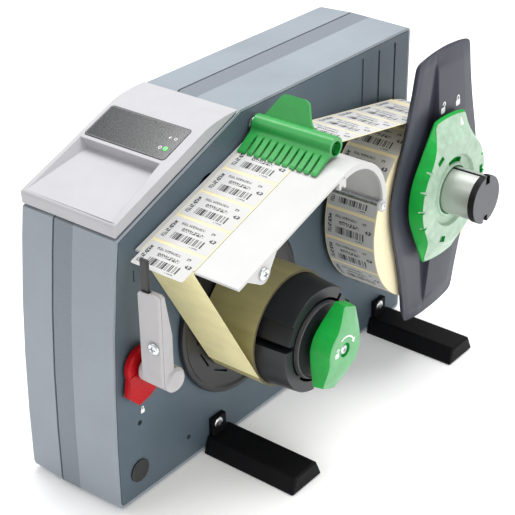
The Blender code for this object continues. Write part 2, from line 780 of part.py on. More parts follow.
def make_plate():
    plate = part("mounting_plate", slab([plate_loop()], -PLATE_THICKNESS, 0), "plate_grey")
    holes = [
        (WINDER_Y, WINDER_Z, BEARING_RADIUS + FIT_GAP), (PLUG_Y, PLUG_Z, PLUG_RADIUS + FIT_GAP),
        (UPPER_HOLE_Y, UPPER_HOLE_Z, PLATE_HOLE_RADIUS),
        (LOWER_HOLE_Y, LOWER_HOLE_Z, PLATE_HOLE_RADIUS),
        (CABLE_HOLE_Y, HOUSING_TOP - CABLE_HOLE_DROP, CABLE_HOLE_RADIUS),
    ]
    for start_y in foot_fronts():
        holes.append((start_y + FOOT_SCREW_Y, FOOT_SCREW_Z, FOOT_SCREW_SHANK + FIT_GAP))
    for index, (y, z, radius) in enumerate(holes):
        steps = ROUND_STEPS if radius > PLUG_RADIUS else SMALL_ROUND_STEPS
        work = rod(-PLATE_THICKNESS - OVERRUN, OVERRUN, y, z, radius, steps)
        cut(plate, work, "hole_%d" % index)
    groove_top = HOUSING_TOP - GROOVE_TOP_DROP
    for index in range(GROOVE_COUNT):
        y = HOUSING_LENGTH - GROOVE_SETBACK - GROOVE_PITCH * index
        cut(plate, box(
            (-GROOVE_DEPTH, y - GROOVE_WIDTH / 2, groove_top - GROOVE_LENGTH),
            (OVERRUN, y + GROOVE_WIDTH / 2, groove_top),
        ), "groove_%d" % index)
    cut(plate, box(
        (-GROOVE_DEPTH, SLIT_Y - SLIT_WIDTH / 2, SLIT_Z - SLIT_LENGTH / 2),
        (OVERRUN, SLIT_Y + SLIT_WIDTH / 2, SLIT_Z + SLIT_LENGTH / 2),
    ), "slit")

    plug = part("hole_plug", rod(
        -PLATE_THICKNESS, FIT_GAP * 2, PLUG_Y, PLUG_Z, PLUG_RADIUS, SMALL_ROUND_STEPS,
    ), "black_plastic")
    join(plug, rod(
        FIT_GAP, PLUG_HEAD + FIT_GAP, PLUG_Y, PLUG_Z, PLUG_RADIUS + PLUG_HEAD, SMALL_ROUND_STEPS,
    ), "head")


def foot_fronts():
    return (FOOT_FRONT_Y, HOUSING_LENGTH - FOOT_REAR_SETBACK)


def make_feet():
    for name, start_y in zip(("front_foot", "rear_foot"), foot_fronts()):
        end_y = start_y + FOOT_WIDTH
        low = [(start_y, 0), (end_y, 0)]
        high = [(end_y - FOOT_DRAFT, FOOT_HEIGHT), (start_y + FOOT_DRAFT, FOOT_HEIGHT)]
        near = low + high
        foot = part(name, loft([(FIT_GAP, near), (FOOT_LENGTH, near)]), "foot_black")
        for vertex in foot.data.vertices:
            if vertex.co.x > FOOT_LENGTH / 2 and vertex.co.z > FOOT_HEIGHT / 2:
                vertex.co.x -= FOOT_END_DRAFT
        soften(foot, FOOT_ROUND, 1)
        tab_y = start_y + FOOT_TAB_START
        join(foot, box(
            (FIT_GAP, tab_y, FOOT_HEIGHT / 2),
            (FOOT_TAB_THICKNESS, tab_y + FOOT_TAB_WIDTH, FOOT_TAB_TOP),
        ), "tab")
        screw_y = start_y + FOOT_SCREW_Y
        reach = FOOT_SCREW_HEAD + FOOT_TAB_THICKNESS
        cut(foot, rod(
            FOOT_TAB_THICKNESS - FOOT_SCREW_HEAD / 2, reach + OVERRUN * 3, screw_y, FOOT_SCREW_Z,
            FOOT_SCREW_RADIUS + FIT_GAP, SMALL_ROUND_STEPS,
        ), "head_room")
        cut(foot, rod(
            -OVERRUN, FOOT_TAB_THICKNESS + OVERRUN, screw_y, FOOT_SCREW_Z,
            FOOT_SCREW_SHANK + FIT_GAP, SMALL_ROUND_STEPS,
        ), "shank_hole")
        head_x = FOOT_TAB_THICKNESS - FOOT_SCREW_HEAD / 2 + FIT_GAP
        profile = [
            (-PLATE_THICKNESS - FOOT_SCREW_SHANK, 0), (-PLATE_THICKNESS - FOOT_SCREW_SHANK, FOOT_SCREW_SHANK),
            (head_x, FOOT_SCREW_SHANK), (head_x, FOOT_SCREW_RADIUS),
            (head_x + FOOT_SCREW_HEAD, FOOT_SCREW_RADIUS), (head_x + FOOT_SCREW_HEAD, 0),
        ]
        part(name + "_screw", turned(profile, screw_y, FOOT_SCREW_Z, SMALL_ROUND_STEPS), "steel")

    for name, y in (("front_pad", PAD_END_INSET), ("rear_pad", HOUSING_LENGTH - PAD_END_INSET)):
        part(name, box(
            (-HOUSING_WIDTH + PAD_SIDE_INSET, y - PAD_WIDTH / 2, 0),
            (-PAD_SIDE_INSET, y + PAD_WIDTH / 2, HOUSING_BOTTOM - FIT_GAP),
        ), "rubber_black")


def make_winder():
    centre = (WINDER_Y, WINDER_Z)
    origin = (0, *centre)
    bore = SPINDLE_RADIUS + RUNNING_GAP
    inner_x = -PLATE_THICKNESS - FIT_GAP
    part("winder_bearing", turned([
        (inner_x - BEARING_LENGTH, bore), (inner_x - BEARING_LENGTH, BEARING_RADIUS),
        (inner_x - BEARING_FLANGE, BEARING_RADIUS), (inner_x - BEARING_FLANGE, BEARING_FLANGE_RADIUS),
        (inner_x, BEARING_FLANGE_RADIUS), (inner_x, BEARING_RADIUS), (0, BEARING_RADIUS), (0, bore),
    ], *centre), "steel")
    part("winder_spindle", rod(
        SPINDLE_INNER_X, SPINDLE_OUTER_X, *centre, SPINDLE_RADIUS,
    ), "steel", origin)

    hub = SPINDLE_RADIUS + FIT_GAP
    flange_end = FLANGE_STAND_OFF + FLANGE_THICKNESS
    flange = part("winder_flange", turned([
        (FLANGE_STAND_OFF, hub), (FLANGE_STAND_OFF, FLANGE_RADIUS),
        (flange_end + FLANGE_RIM, FLANGE_RADIUS),
        (flange_end + FLANGE_RIM, FLANGE_RADIUS - FLANGE_RIM_WIDTH),
        (flange_end, FLANGE_RADIUS - FLANGE_RIM_WIDTH - FLANGE_RIM), (flange_end, hub),
    ], *centre, ROUND_STEPS), "black_plastic", origin)
    slots = bmesh.new()
    for index in range(FLANGE_SLOT_COUNT):
        work = box(
            (FLANGE_STAND_OFF - OVERRUN, -FLANGE_SLOT_LENGTH / 2, FLANGE_SLOT_RADIUS),
            (flange_end + OVERRUN, FLANGE_SLOT_LENGTH / 2, FLANGE_SLOT_RADIUS + FLANGE_SLOT_WIDTH),
        )
        turn = Matrix.Rotation(math.tau * index / FLANGE_SLOT_COUNT, 4, "X")
        bmesh.ops.transform(work, verts=work.verts, matrix=Matrix.Translation(origin) @ turn)
        merge_into(slots, work)
    cut(flange, slots, "slots")

    drum_start = flange_end + FIT_GAP
    drum_end = drum_start + DRUM_LENGTH
    core = part("drum_core", turned([
        (drum_start, hub), (drum_start, CORE_RADIUS), (drum_end, CORE_RADIUS),
        (drum_end, CORE_DISC_RADIUS), (drum_end + CORE_DISC_THICKNESS, CORE_DISC_RADIUS),
        (drum_end + CORE_DISC_THICKNESS, hub),
    ], *centre), "black_plastic", origin)
    pitch = math.tau / JAW_COUNT
    middle = JAW_START_ANGLE + (JAW_MAIN_ANGLE + JAW_TAIL_ANGLE) / 2
    for index in range(JAW_COUNT):
        turn = middle + pitch * index
        join(core, radial_box(
            turn, CORE_RADIUS - OVERRUN, CORE_RIB_RADIUS, CORE_RIB_WIDTH, drum_start, drum_end,
        ), "rib_%d" % index)
        jaw = part("drum_jaw_%d" % (index + 1), slab(
            [jaw_loop(JAW_START_ANGLE + pitch * index)], drum_start, drum_end,
        ), "black_plastic", origin)
        cut(jaw, radial_box(
            turn, JAW_INNER_RADIUS - OVERRUN, CORE_RIB_RADIUS + JAW_TRAVEL + FIT_GAP,
            CORE_RIB_WIDTH + FIT_GAP * 2, drum_start - OVERRUN, drum_end + OVERRUN,
        ), "rib_slot")

    inner = DRUM_RADIUS + FIT_GAP
    outer = inner + LINER_WOUND_THICKNESS
    part("wound_liner", turned([
        (WEB_LEFT_X, inner), (WEB_LEFT_X, outer),
        (WEB_LEFT_X + LINER_WIDTH, outer), (WEB_LEFT_X + LINER_WIDTH, inner),
    ], *centre, ROUND_STEPS), "liner_yellow", origin)

    knob_end = KNOB_START_X + KNOB_DEPTH
    wide = knob_loop(centre, KNOB_HUB_RADIUS, KNOB_WING_RADIUS, KNOB_WING_HALF_WIDTH, KNOB_WING_ANGLE)
    knob = part("winder_knob", loft([
        (KNOB_START_X, wide), (KNOB_START_X + KNOB_DEPTH / 2, wide),
        (knob_end, shrunk(wide, centre, KNOB_FRONT_SHARE)),
    ]), "green_plastic", origin)
    socket_x = knob_end - KNOB_SCREW_HEAD
    cut(knob, rod(
        socket_x, knob_end + OVERRUN, *centre, KNOB_SOCKET_RADIUS, SMALL_ROUND_STEPS,
    ), "screw_socket")
    cut(knob, rod(
        KNOB_START_X - OVERRUN, knob_end, *centre, KNOB_SCREW_SHANK + FIT_GAP, SMALL_ROUND_STEPS,
    ), "screw_hole")
    collar_start = drum_end + CORE_DISC_THICKNESS + FIT_GAP
    if collar_start < KNOB_START_X:
        join(knob, turned([
            (collar_start, KNOB_SCREW_SHANK + FIT_GAP), (collar_start, KNOB_COLLAR_RADIUS),
            (KNOB_START_X + OVERRUN, KNOB_COLLAR_RADIUS),
            (KNOB_START_X + OVERRUN, KNOB_SCREW_SHANK + FIT_GAP),
        ], *centre, SMALL_ROUND_STEPS), "collar")
    part("knob_screw", turned([
        (SPINDLE_OUTER_X + FIT_GAP, 0), (SPINDLE_OUTER_X + FIT_GAP, KNOB_SCREW_SHANK),
        (socket_x + FIT_GAP, KNOB_SCREW_SHANK), (socket_x + FIT_GAP, KNOB_SCREW_RADIUS),
        (knob_end, KNOB_SCREW_RADIUS), (knob_end, 0),
    ], *centre, SMALL_ROUND_STEPS), "steel", origin)


def merge_into(target, work):
    mesh = bpy.data.meshes.new("joined")
    work.to_mesh(mesh)
    work.free()
    target.from_mesh(mesh)
    bpy.data.meshes.remove(mesh)


def radial_box(turn, inner, outer, width, start_x, end_x):
    work = box((start_x, inner, -width / 2), (end_x, outer, width / 2))
    matrix = Matrix.Translation((0, WINDER_Y, WINDER_Z)) @ Matrix.Rotation(turn, 4, "X")
    bmesh.ops.transform(work, verts=work.verts, matrix=matrix)
    return work


def jaw_loop(start):
    centre = (WINDER_Y, WINDER_Z)
    tail = start + JAW_MAIN_ANGLE
    end = tail + JAW_TAIL_ANGLE
    loop = arc(centre, DRUM_RADIUS, start, tail, JAW_ARC_STEPS)
    loop += arc(centre, DRUM_RADIUS - DRUM_STEP, tail, end, JAW_TAIL_STEPS)
    loop += arc(centre, JAW_INNER_RADIUS, end, start, JAW_ARC_STEPS + JAW_TAIL_STEPS)
    return loop


def knob_loop(centre, hub_radius, wing_radius, half_width, angle):
    """A round hub with two opposite wings."""
    spread = math.asin(half_width / wing_radius)
    foot = math.asin(min(half_width * 2 / hub_radius, 1))
    loop = []
    for turn in (angle, angle + math.pi):
        loop += arc(centre, wing_radius, turn - spread, turn + spread, 4)
        loop += arc(centre, hub_radius, turn + foot, turn + math.pi - foot, 8)
    return loop


def pulley(name, radius, bore, centre, back_x, color):
    rim = radius + PULLEY_RIM
    front = back_x
    back = back_x - PULLEY_WIDTH
    part(name, turned([
        (back, bore), (back, rim), (back + PULLEY_RIM_WIDTH, rim), (back + PULLEY_RIM_WIDTH, radius),
        (front - PULLEY_RIM_WIDTH, radius), (front - PULLEY_RIM_WIDTH, rim), (front, rim), (front, bore),
    ], *centre), color, (0, *centre))


def make_drive():
    winder = (WINDER_Y, WINDER_Z)
    motor = (MOTOR_Y, MOTOR_Z)
    pulley("winder_pulley", WINDER_PULLEY_RADIUS, SPINDLE_RADIUS + FIT_GAP, winder, PULLEY_BACK_X, "black_plastic")
    pulley("motor_pulley", MOTOR_PULLEY_RADIUS, MOTOR_SHAFT_RADIUS + RUNNING_GAP, motor, PULLEY_BACK_X, "aluminium")

    first = WINDER_PULLEY_RADIUS + FIT_GAP + BELT_THICKNESS / 2
    second = MOTOR_PULLEY_RADIUS + FIT_GAP + BELT_THICKNESS / 2
    low = tangent_angle(winder, first, motor, second)
    high = tangent_angle(motor, second, winder, first)
    path = arc(motor, second, low, high, BELT_STEPS)
    path += arc(winder, first, high, low + math.tau, BELT_STEPS * 2)
    belt_middle = PULLEY_BACK_X - PULLEY_WIDTH / 2
    half = PULLEY_WIDTH / 2 - PULLEY_RIM_WIDTH - FIT_GAP
    part("drive_belt", slab(
        [inset(path, -BELT_THICKNESS / 2), inset(path, BELT_THICKNESS / 2)],
        belt_middle - half, belt_middle + half,
    ), "rubber_black")

    start = -PLATE_THICKNESS - FIT_GAP
    half = MOTOR_SIZE / 2
    body = part("drive_motor", box(
        (start - MOTOR_LENGTH, MOTOR_Y - half, MOTOR_Z - half), (start, MOTOR_Y + half, MOTOR_Z + half),
    ), "dark_grey")
    soften(body, MOTOR_CHAMFER, 1)
    join(body, rod(
        start - MOTOR_LENGTH - MOTOR_SHAFT_LENGTH, start - MOTOR_LENGTH / 2, *motor,
        MOTOR_SHAFT_RADIUS, SMALL_ROUND_STEPS,
    ), "shaft")


def make_electronics():
    inner_x = -PLATE_THICKNESS - FIT_GAP
    board_x = inner_x - BOARD_STAND_OFF
    end_y = HOUSING_LENGTH - BOARD_SETBACK
    start_y = end_y - BOARD_LENGTH
    end_z = HOUSING_TOP - BOARD_TOP_DROP
    start_z = end_z - BOARD_HEIGHT
    board = part("circuit_board", box(
        (board_x - BOARD_THICKNESS, start_y, start_z), (board_x, end_y, end_z),
    ), "board_green")
    for corner_y in (start_y + BOARD_POST_INSET, end_y - BOARD_POST_INSET):
        for corner_z in (start_z + BOARD_POST_INSET, end_z - BOARD_POST_INSET):
            join(board, rod(
                board_x - BOARD_THICKNESS / 2, inner_x, corner_y, corner_z,
                BOARD_POST_RADIUS, SMALL_ROUND_STEPS,
            ), "post_%d" % len(board.modifiers))
    chip_y = (start_y + end_y) / 2
    chip_z = (start_z + end_z) / 2
    chip = BOARD_CHIP_SIZE / 2
    join(board, box(
        (board_x - BOARD_THICKNESS - BOARD_CHIP_HEIGHT, chip_y - chip, chip_z - chip),
        (board_x - BOARD_THICKNESS / 2, chip_y + chip, chip_z + chip),
    ), "chip")

    supply_end = HOUSING_LENGTH - SUPPLY_BOX_SETBACK
    supply = part("power_supply", box(
        (inner_x - SUPPLY_BOX_DEPTH, supply_end - SUPPLY_BOX_LENGTH, SUPPLY_BOX_Z),
        (inner_x, supply_end, SUPPLY_BOX_Z + SUPPLY_BOX_HEIGHT),
    ), "dark_grey")
    soften(supply, SUPPLY_BOX_ROUND, 1)


def make_inlet():
    rear = HOUSING_LENGTH + FIT_GAP
    half_width = INLET_WIDTH / 2
    half_height = INLET_HEIGHT / 2
    inlet = part("power_inlet", box(
        (INLET_X - half_width, HOUSING_LENGTH - INLET_DEPTH, INLET_Z - half_height),
        (INLET_X + half_width, rear + INLET_FLANGE, INLET_Z + half_height),
    ), "black_plastic")
    join(inlet, box(
        (INLET_X - half_width - INLET_FLANGE_MARGIN, rear, INLET_Z - half_height - INLET_FLANGE_MARGIN),
        (INLET_X + half_width + INLET_FLANGE_MARGIN, rear + INLET_FLANGE,
         INLET_Z + half_height + INLET_FLANGE_MARGIN),
    ), "flange")
    face = rear + INLET_FLANGE
    socket_z = INLET_Z - SOCKET_DROP
    cut(inlet, box(
        (INLET_X - SOCKET_WIDTH / 2, face - SOCKET_DEPTH, socket_z - SOCKET_HEIGHT / 2),
        (INLET_X + SOCKET_WIDTH / 2, face + OVERRUN, socket_z + SOCKET_HEIGHT / 2),
    ), "socket")
    for step in (-1, 0, 1):
        x = INLET_X + step * SOCKET_PIN_SPACING
        join(inlet, box(
            (x - SOCKET_PIN / 2, face - SOCKET_DEPTH - OVERRUN / 2, socket_z - SOCKET_PIN),
            (x + SOCKET_PIN / 2, face - SOCKET_PIN, socket_z + SOCKET_PIN),
        ), "pin_%d" % (step + 1))

    switch_z = INLET_Z + SWITCH_RISE
    reach = SWITCH_RADIUS + SWITCH_GAP
    side = SWITCH_WIDTH / 2 + SWITCH_GAP
    cut(inlet, box(
        (INLET_X - side, face - SWITCH_POCKET_DEPTH, switch_z - reach),
        (INLET_X + side, face + OVERRUN, switch_z + reach),
    ), "switch_pocket")
    centre = (face - SWITCH_SETBACK, switch_z)
    ends = math.pi / 2 - SWITCH_TILT
    loop = arc(centre, SWITCH_RADIUS, ends - SWITCH_TILT, math.tau - ends - SWITCH_TILT, SWITCH_STEPS)
    loop.append(on_circle(centre, SWITCH_RADIUS * math.sin(SWITCH_TILT) / 2, -SWITCH_TILT))
    part("power_switch", slab(
        [loop], INLET_X - SWITCH_WIDTH / 2, INLET_X + SWITCH_WIDTH / 2,
    ), "black_plastic", (INLET_X, *centre))


def roll_centre():
    return (SUPPLY_Y, SUPPLY_Z - (PAPER_CORE_INNER - TUBE_RADIUS - FIT_GAP))


def make_supply():
    centre = (SUPPLY_Y, SUPPLY_Z)
    base_end = FIT_GAP + TUBE_BASE_THICKNESS
    tube = part("supply_tube", turned([
        (FIT_GAP, TUBE_RADIUS - TUBE_WALL), (FIT_GAP, TUBE_BASE_RADIUS),
        (base_end, TUBE_BASE_RADIUS), (base_end, TUBE_RADIUS),
        (TUBE_END_X, TUBE_RADIUS), (TUBE_END_X, TUBE_RADIUS - TUBE_WALL),
    ], *centre), "aluminium")
    cut(tube, box(
        (base_end + TUBE_BASE_THICKNESS, SUPPLY_Y - TUBE_GROOVE_WIDTH / 2,
         SUPPLY_Z + TUBE_RADIUS - TUBE_GROOVE_DEPTH),
        (TUBE_END_X + OVERRUN, SUPPLY_Y + TUBE_GROOVE_WIDTH / 2, SUPPLY_Z + TUBE_RADIUS + OVERRUN),
    ), "key_groove")

    cap_start = TUBE_END_X + FIT_GAP
    cap_end = cap_start + END_CAP_THICKNESS
    plug_radius = TUBE_RADIUS - TUBE_WALL - FIT_GAP
    cap = part("tube_end_cap", turned([
        (cap_start - END_CAP_PLUG, 0), (cap_start - END_CAP_PLUG, plug_radius),
        (cap_start, plug_radius), (cap_start, END_CAP_RADIUS), (cap_end, END_CAP_RADIUS), (cap_end, 0),
    ], *centre), "cap_dark")
    for label, side in (("top_notch", 1), ("bottom_notch", -1)):
        near = SUPPLY_Z + side * (END_CAP_RADIUS - END_CAP_NOTCH_DEPTH)
        far = SUPPLY_Z + side * (END_CAP_RADIUS + OVERRUN)
        cut(cap, box(
            (cap_start - FIT_GAP, SUPPLY_Y - END_CAP_NOTCH_WIDTH / 2, min(near, far)),
            (cap_end + OVERRUN, SUPPLY_Y + END_CAP_NOTCH_WIDTH / 2, max(near, far)),
        ), label)

    middle = roll_centre()
    origin = (0, *middle)
    core_outer = PAPER_CORE_INNER + PAPER_CORE_WALL
    web_right = WEB_LEFT_X + WEB_WIDTH
    part("paper_core", turned([
        (WEB_LEFT_X, PAPER_CORE_INNER), (WEB_LEFT_X, core_outer),
        (web_right, core_outer), (web_right, PAPER_CORE_INNER),
    ], *middle), "card_brown", origin)
    part("label_roll", turned([
        (WEB_LEFT_X, core_outer + FIT_GAP), (WEB_LEFT_X, ROLL_RADIUS),
        (web_right, ROLL_RADIUS), (web_right, core_outer + FIT_GAP),
    ], *middle, ROUND_STEPS * 2), "roll_cream", origin)


def shared_loop(shares, half_width, half_length, centre):
    """Point-symmetric outline from one quarter given in shares."""
    quarter = [(y * half_width, z * half_length) for y, z in shares]
    flipped = [(-y, z) for y, z in reversed(quarter)]
    upper = quarter + [point for point in flipped if point[1] > 0]
    lower = [(-y, -z) for y, z in upper]
    return [(centre[0] + y, centre[1] + z) for y, z in upper + lower]


def make_stop():
    centre = (SUPPLY_Y, SUPPLY_Z)
    origin = (0, *centre)
    back = STOP_START_X
    face = back + STOP_THICKNESS
    outline = shared_loop(STOP_OUTLINE_SHARES, STOP_HALF_WIDTH, STOP_HALF_LENGTH, centre)
    stop = part("margin_stop", slab([outline], back, face), "dark_grey", origin)
    soften(stop, STOP_ROUND, 2)
    ridge = shared_loop(STOP_RIDGE_SHARES, STOP_HALF_WIDTH, STOP_HALF_LENGTH, centre)
    join(stop, loft([
        (face - STOP_ROUND, ridge), (face + STOP_RIDGE_HEIGHT, shrunk(ridge, centre, STOP_KNOB_FRONT_SHARE)),
    ]), "ridge")
    hub_end = face + STOP_RIDGE_HEIGHT + STOP_HUB_HEIGHT
    join(stop, rod(face - STOP_ROUND, hub_end, *centre, STOP_HUB_RADIUS), "hub")
    bore = TUBE_RADIUS + STOP_CLEARANCE
    cut(stop, rod(back - OVERRUN, hub_end + OVERRUN, *centre, bore), "bore")

    start = face + STOP_RIDGE_HEIGHT + FIT_GAP
    end = start + STOP_KNOB_DEPTH
    wide = knob_loop(
        centre, STOP_KNOB_RADIUS, STOP_KNOB_HALF_LENGTH, STOP_KNOB_WING_HALF_WIDTH, STOP_KNOB_ANGLE,
    )
    knob = part("stop_knob", loft([
        (start, wide), (start + STOP_KNOB_DEPTH / 2, wide), (end, shrunk(wide, centre, STOP_KNOB_FRONT_SHARE)),
    ]), "green_plastic", origin)
    cut(knob, rod(start - OVERRUN, end + OVERRUN, *centre, bore), "bore")
    cut(knob, rod(start - OVERRUN, hub_end + FIT_GAP, *centre, STOP_HUB_RADIUS + FIT_GAP), "hub_seat")
    cut(knob, rod(
        end - STOP_KNOB_DISH_DEPTH, end + OVERRUN, *centre, STOP_KNOB_DISH_RADIUS,
    ), "dish")
    for index, side in enumerate((1, -1)):
        turn = STOP_KNOB_ANGLE + side * math.pi / 4 + (math.pi / 2 if side > 0 else math.pi)
        work = box(
            (end - STOP_KNOB_DISH_DEPTH, -STOP_KNOB_SLOT_WIDTH / 2, -STOP_KNOB_SLOT_LENGTH / 2),
            (end + OVERRUN, STOP_KNOB_SLOT_WIDTH / 2, STOP_KNOB_SLOT_LENGTH / 2),
        )
        spot = on_circle(centre, STOP_KNOB_SLOT_RADIUS, turn)
        bmesh.ops.translate(work, verts=work.verts, vec=(0, *spot))
        cut(knob, work, "slot_%d" % index)


def arch_centre():
    return (ARCH_Y, ARCH_Z)


def slope_vector():
    """Unit vector down the table, towards the peeling edge, as (y, z)."""
    return Vector((-math.cos(TABLE_SLOPE), -math.sin(TABLE_SLOPE)))


def nose_centre():
    up = Vector((-math.sin(TABLE_SLOPE), math.cos(TABLE_SLOPE)))
    middle = Vector(arch_centre()) + up * (ARCH_RADIUS - NOSE_RADIUS) + slope_vector() * TABLE_LENGTH
    return (middle.x, middle.y)


def guide_path(lift, drop=0, steps=ARCH_STEPS):
    """Path of a band that follows the arch and the table at a height above their skin."""
    path = arc(arch_centre(), ARCH_RADIUS + lift, 0, math.pi / 2 + TABLE_SLOPE, steps)
    if drop > 0:
        path.insert(0, (path[0][0], path[0][1] - drop))
    return path


def make_table():
    top_turn = math.pi / 2 + TABLE_SLOPE
    nose = nose_centre()
    loop = guide_path(0, ARCH_LEG)
    loop += arc(nose, NOSE_RADIUS, top_turn, top_turn + math.pi, NOSE_STEPS)
    under = guide_path(-TABLE_THICKNESS, ARCH_LEG)
    loop += list(reversed(under))
    table = part("dispensing_table", slab([loop], TABLE_LEFT_X, TABLE_RIGHT_X), "white_sheet")

    rim_depth = ARCH_RIM_DEPTH - TABLE_THICKNESS / 2
    rim = ribbon(guide_path(-(ARCH_RIM_DEPTH + TABLE_THICKNESS / 2) / 2, ARCH_LEG), rim_depth)
    join(table, slab([rim], TABLE_RIGHT_X - ARCH_RIM_WIDTH, TABLE_RIGHT_X), "rim")

    ear = ear_centre()
    ear_y, ear_z = ear
    down = slope_vector()
    top = Vector(nose) - down * (ear_y + EAR_RADIUS * 2 - nose[0]) / math.cos(TABLE_SLOPE)
    low = Vector(nose) - down * EAR_RADIUS
    outline = [(low.x, low.y)] + arc(
        ear, EAR_RADIUS, math.pi * 5 / 4, math.tau, SMALL_ROUND_STEPS // 2,
    ) + [(top.x, top.y)]
    join(table, slab([outline], TABLE_RIGHT_X - EAR_THICKNESS, TABLE_RIGHT_X), "ear")

    rear_y, rear_z = rear_ear_centre()
    join(table, rod(
        TABLE_RIGHT_X - EAR_THICKNESS, TABLE_RIGHT_X, rear_y, rear_z, REAR_EAR_RADIUS, SMALL_ROUND_STEPS,
    ), "rear_ear")

    down = slope_vector()
    hook_z = arch_centre()[1] + math.sqrt(ARCH_RADIUS ** 2 - (HOOK_Y - ARCH_Y) ** 2)
    hook = box(
        (TABLE_RIGHT_X - EAR_THICKNESS, HOOK_Y - HOOK_WIDTH / 2, hook_z - HOOK_LENGTH - ARCH_RIM_DEPTH),
        (TABLE_RIGHT_X, HOOK_Y + HOOK_WIDTH / 2, hook_z - ARCH_RIM_DEPTH / 2),
    )
    join(table, hook, "hook")
    cut(table, box(
        (TABLE_RIGHT_X - EAR_THICKNESS - OVERRUN, HOOK_Y - HOOK_NOTCH / 2,
         hook_z - HOOK_LENGTH - ARCH_RIM_DEPTH - OVERRUN),
        (TABLE_RIGHT_X + OVERRUN, HOOK_Y + HOOK_NOTCH / 2, hook_z - ARCH_RIM_DEPTH - HOOK_NOTCH),
    ), "hook_notch")

    inner = TABLE_RIGHT_X - EAR_THICKNESS - FIT_GAP
    bars = (
        ("front_bar", ear_y, ear_z, BAR_RADIUS, TABLE_SCREW_RADIUS),
        ("rear_bar", rear_y, rear_z, REAR_BAR_RADIUS, REAR_SCREW_RADIUS),
    )
    for name, y, z, radius, head in bars:
        shank = radius / 2
        bar = part(name, rod(FIT_GAP, inner, y, z, radius, SMALL_ROUND_STEPS), "steel")
        cut(bar, rod(
            inner - radius * 2 - FIT_GAP, inner + OVERRUN, y, z, shank + FIT_GAP, SMALL_ROUND_STEPS,
        ), "thread")
        cut(table, rod(
            inner - FIT_GAP, TABLE_RIGHT_X + OVERRUN, y, z, shank + FIT_GAP, SMALL_ROUND_STEPS,
        ), name + "_hole")
        head_x = TABLE_RIGHT_X + FIT_GAP
        part(name + "_screw", turned([
            (inner - radius * 2, 0), (inner - radius * 2, shank), (head_x, shank), (head_x, head),
            (head_x + TABLE_SCREW_HEAD, head * KNOB_FRONT_SHARE), (head_x + TABLE_SCREW_HEAD, 0),
        ], y, z, SMALL_ROUND_STEPS), "steel")


def ear_centre():
    """Centre of the front bar, below the table and behind its nose."""
    nose_y, nose_z = nose_centre()
    return (nose_y + EAR_SETBACK, nose_z + EAR_SETBACK * math.tan(TABLE_SLOPE) - EAR_DROP)


def rear_ear_centre():
    return (ARCH_Y + ARCH_RADIUS - REAR_EAR_SET_IN, ARCH_Z - REAR_EAR_DROP)


def make_comb():
    centre = (COMB_Y, COMB_Z)
    origin = (0, *centre)
    axle_end = COMB_AXLE_END_X
    axle = part("comb_axle", rod(
        FIT_GAP, axle_end, *centre, COMB_AXLE_RADIUS, SMALL_ROUND_STEPS,
    ), "steel")
    join(axle, rod(
        FIT_GAP, FIT_GAP + COMB_AXLE_HEAD, *centre, COMB_AXLE_HEAD_RADIUS, SMALL_ROUND_STEPS,
    ), "foot")

    comb = part("pressure_comb", rod(COMB_LEFT_X, COMB_RIGHT_X, *centre, COMB_HUB_RADIUS), "green_plastic", origin)
    nose = nose_centre()
    skin = nose[1] + NOSE_RADIUS / math.cos(TABLE_SLOPE)
    tip_z = skin + (COMB_TIP_Y - nose[0]) * math.tan(TABLE_SLOPE) + COMB_TIP_LIFT
    blade = [
        (COMB_TIP_Y, tip_z), on_circle(centre, COMB_HUB_RADIUS - COMB_TIP_THICKNESS / 2, math.radians(232)),
        on_circle(centre, COMB_HUB_RADIUS, math.radians(80)),
        on_circle(centre, COMB_HUB_RADIUS, math.radians(122)),
        (COMB_TIP_Y + COMB_TIP_THICKNESS / 2, tip_z + COMB_TIP_THICKNESS),
    ]
    join(comb, slab([blade], COMB_LEFT_X, COMB_RIGHT_X), "blade")
    slots = bmesh.new()
    pitch = (COMB_RIGHT_X - COMB_LEFT_X) / COMB_FINGER_COUNT
    for index in range(1, COMB_FINGER_COUNT):
        x = COMB_LEFT_X + pitch * index
        merge_into(slots, box(
            (x - COMB_SLOT_WIDTH / 2, COMB_TIP_Y - OVERRUN, tip_z - OVERRUN),
            (x + COMB_SLOT_WIDTH / 2, COMB_TIP_Y + COMB_SLOT_LENGTH, COMB_Z + COMB_HUB_RADIUS + OVERRUN),
        ))
    cut(comb, slots, "slots")

    outline = [
        (COMB_TAB_LEFT_X + COMB_TAB_WIDTH * x_share, COMB_TAB_HEIGHT * height_share)
        for x_share, height_share in COMB_TAB_SHARES
    ]
    tab = slab([outline], -COMB_TAB_THICKNESS / 2, COMB_TAB_THICKNESS / 2, "Y")
    lean = Matrix.Translation(origin) @ Matrix.Rotation(-COMB_TAB_LEAN, 4, "X")
    bmesh.ops.transform(tab, verts=tab.verts, matrix=lean)
    join(comb, tab, "tab")
    cut(comb, rod(
        COMB_LEFT_X - OVERRUN, COMB_RIGHT_X + OVERRUN, *centre,
        COMB_AXLE_RADIUS + RUNNING_GAP,
    ), "bore")


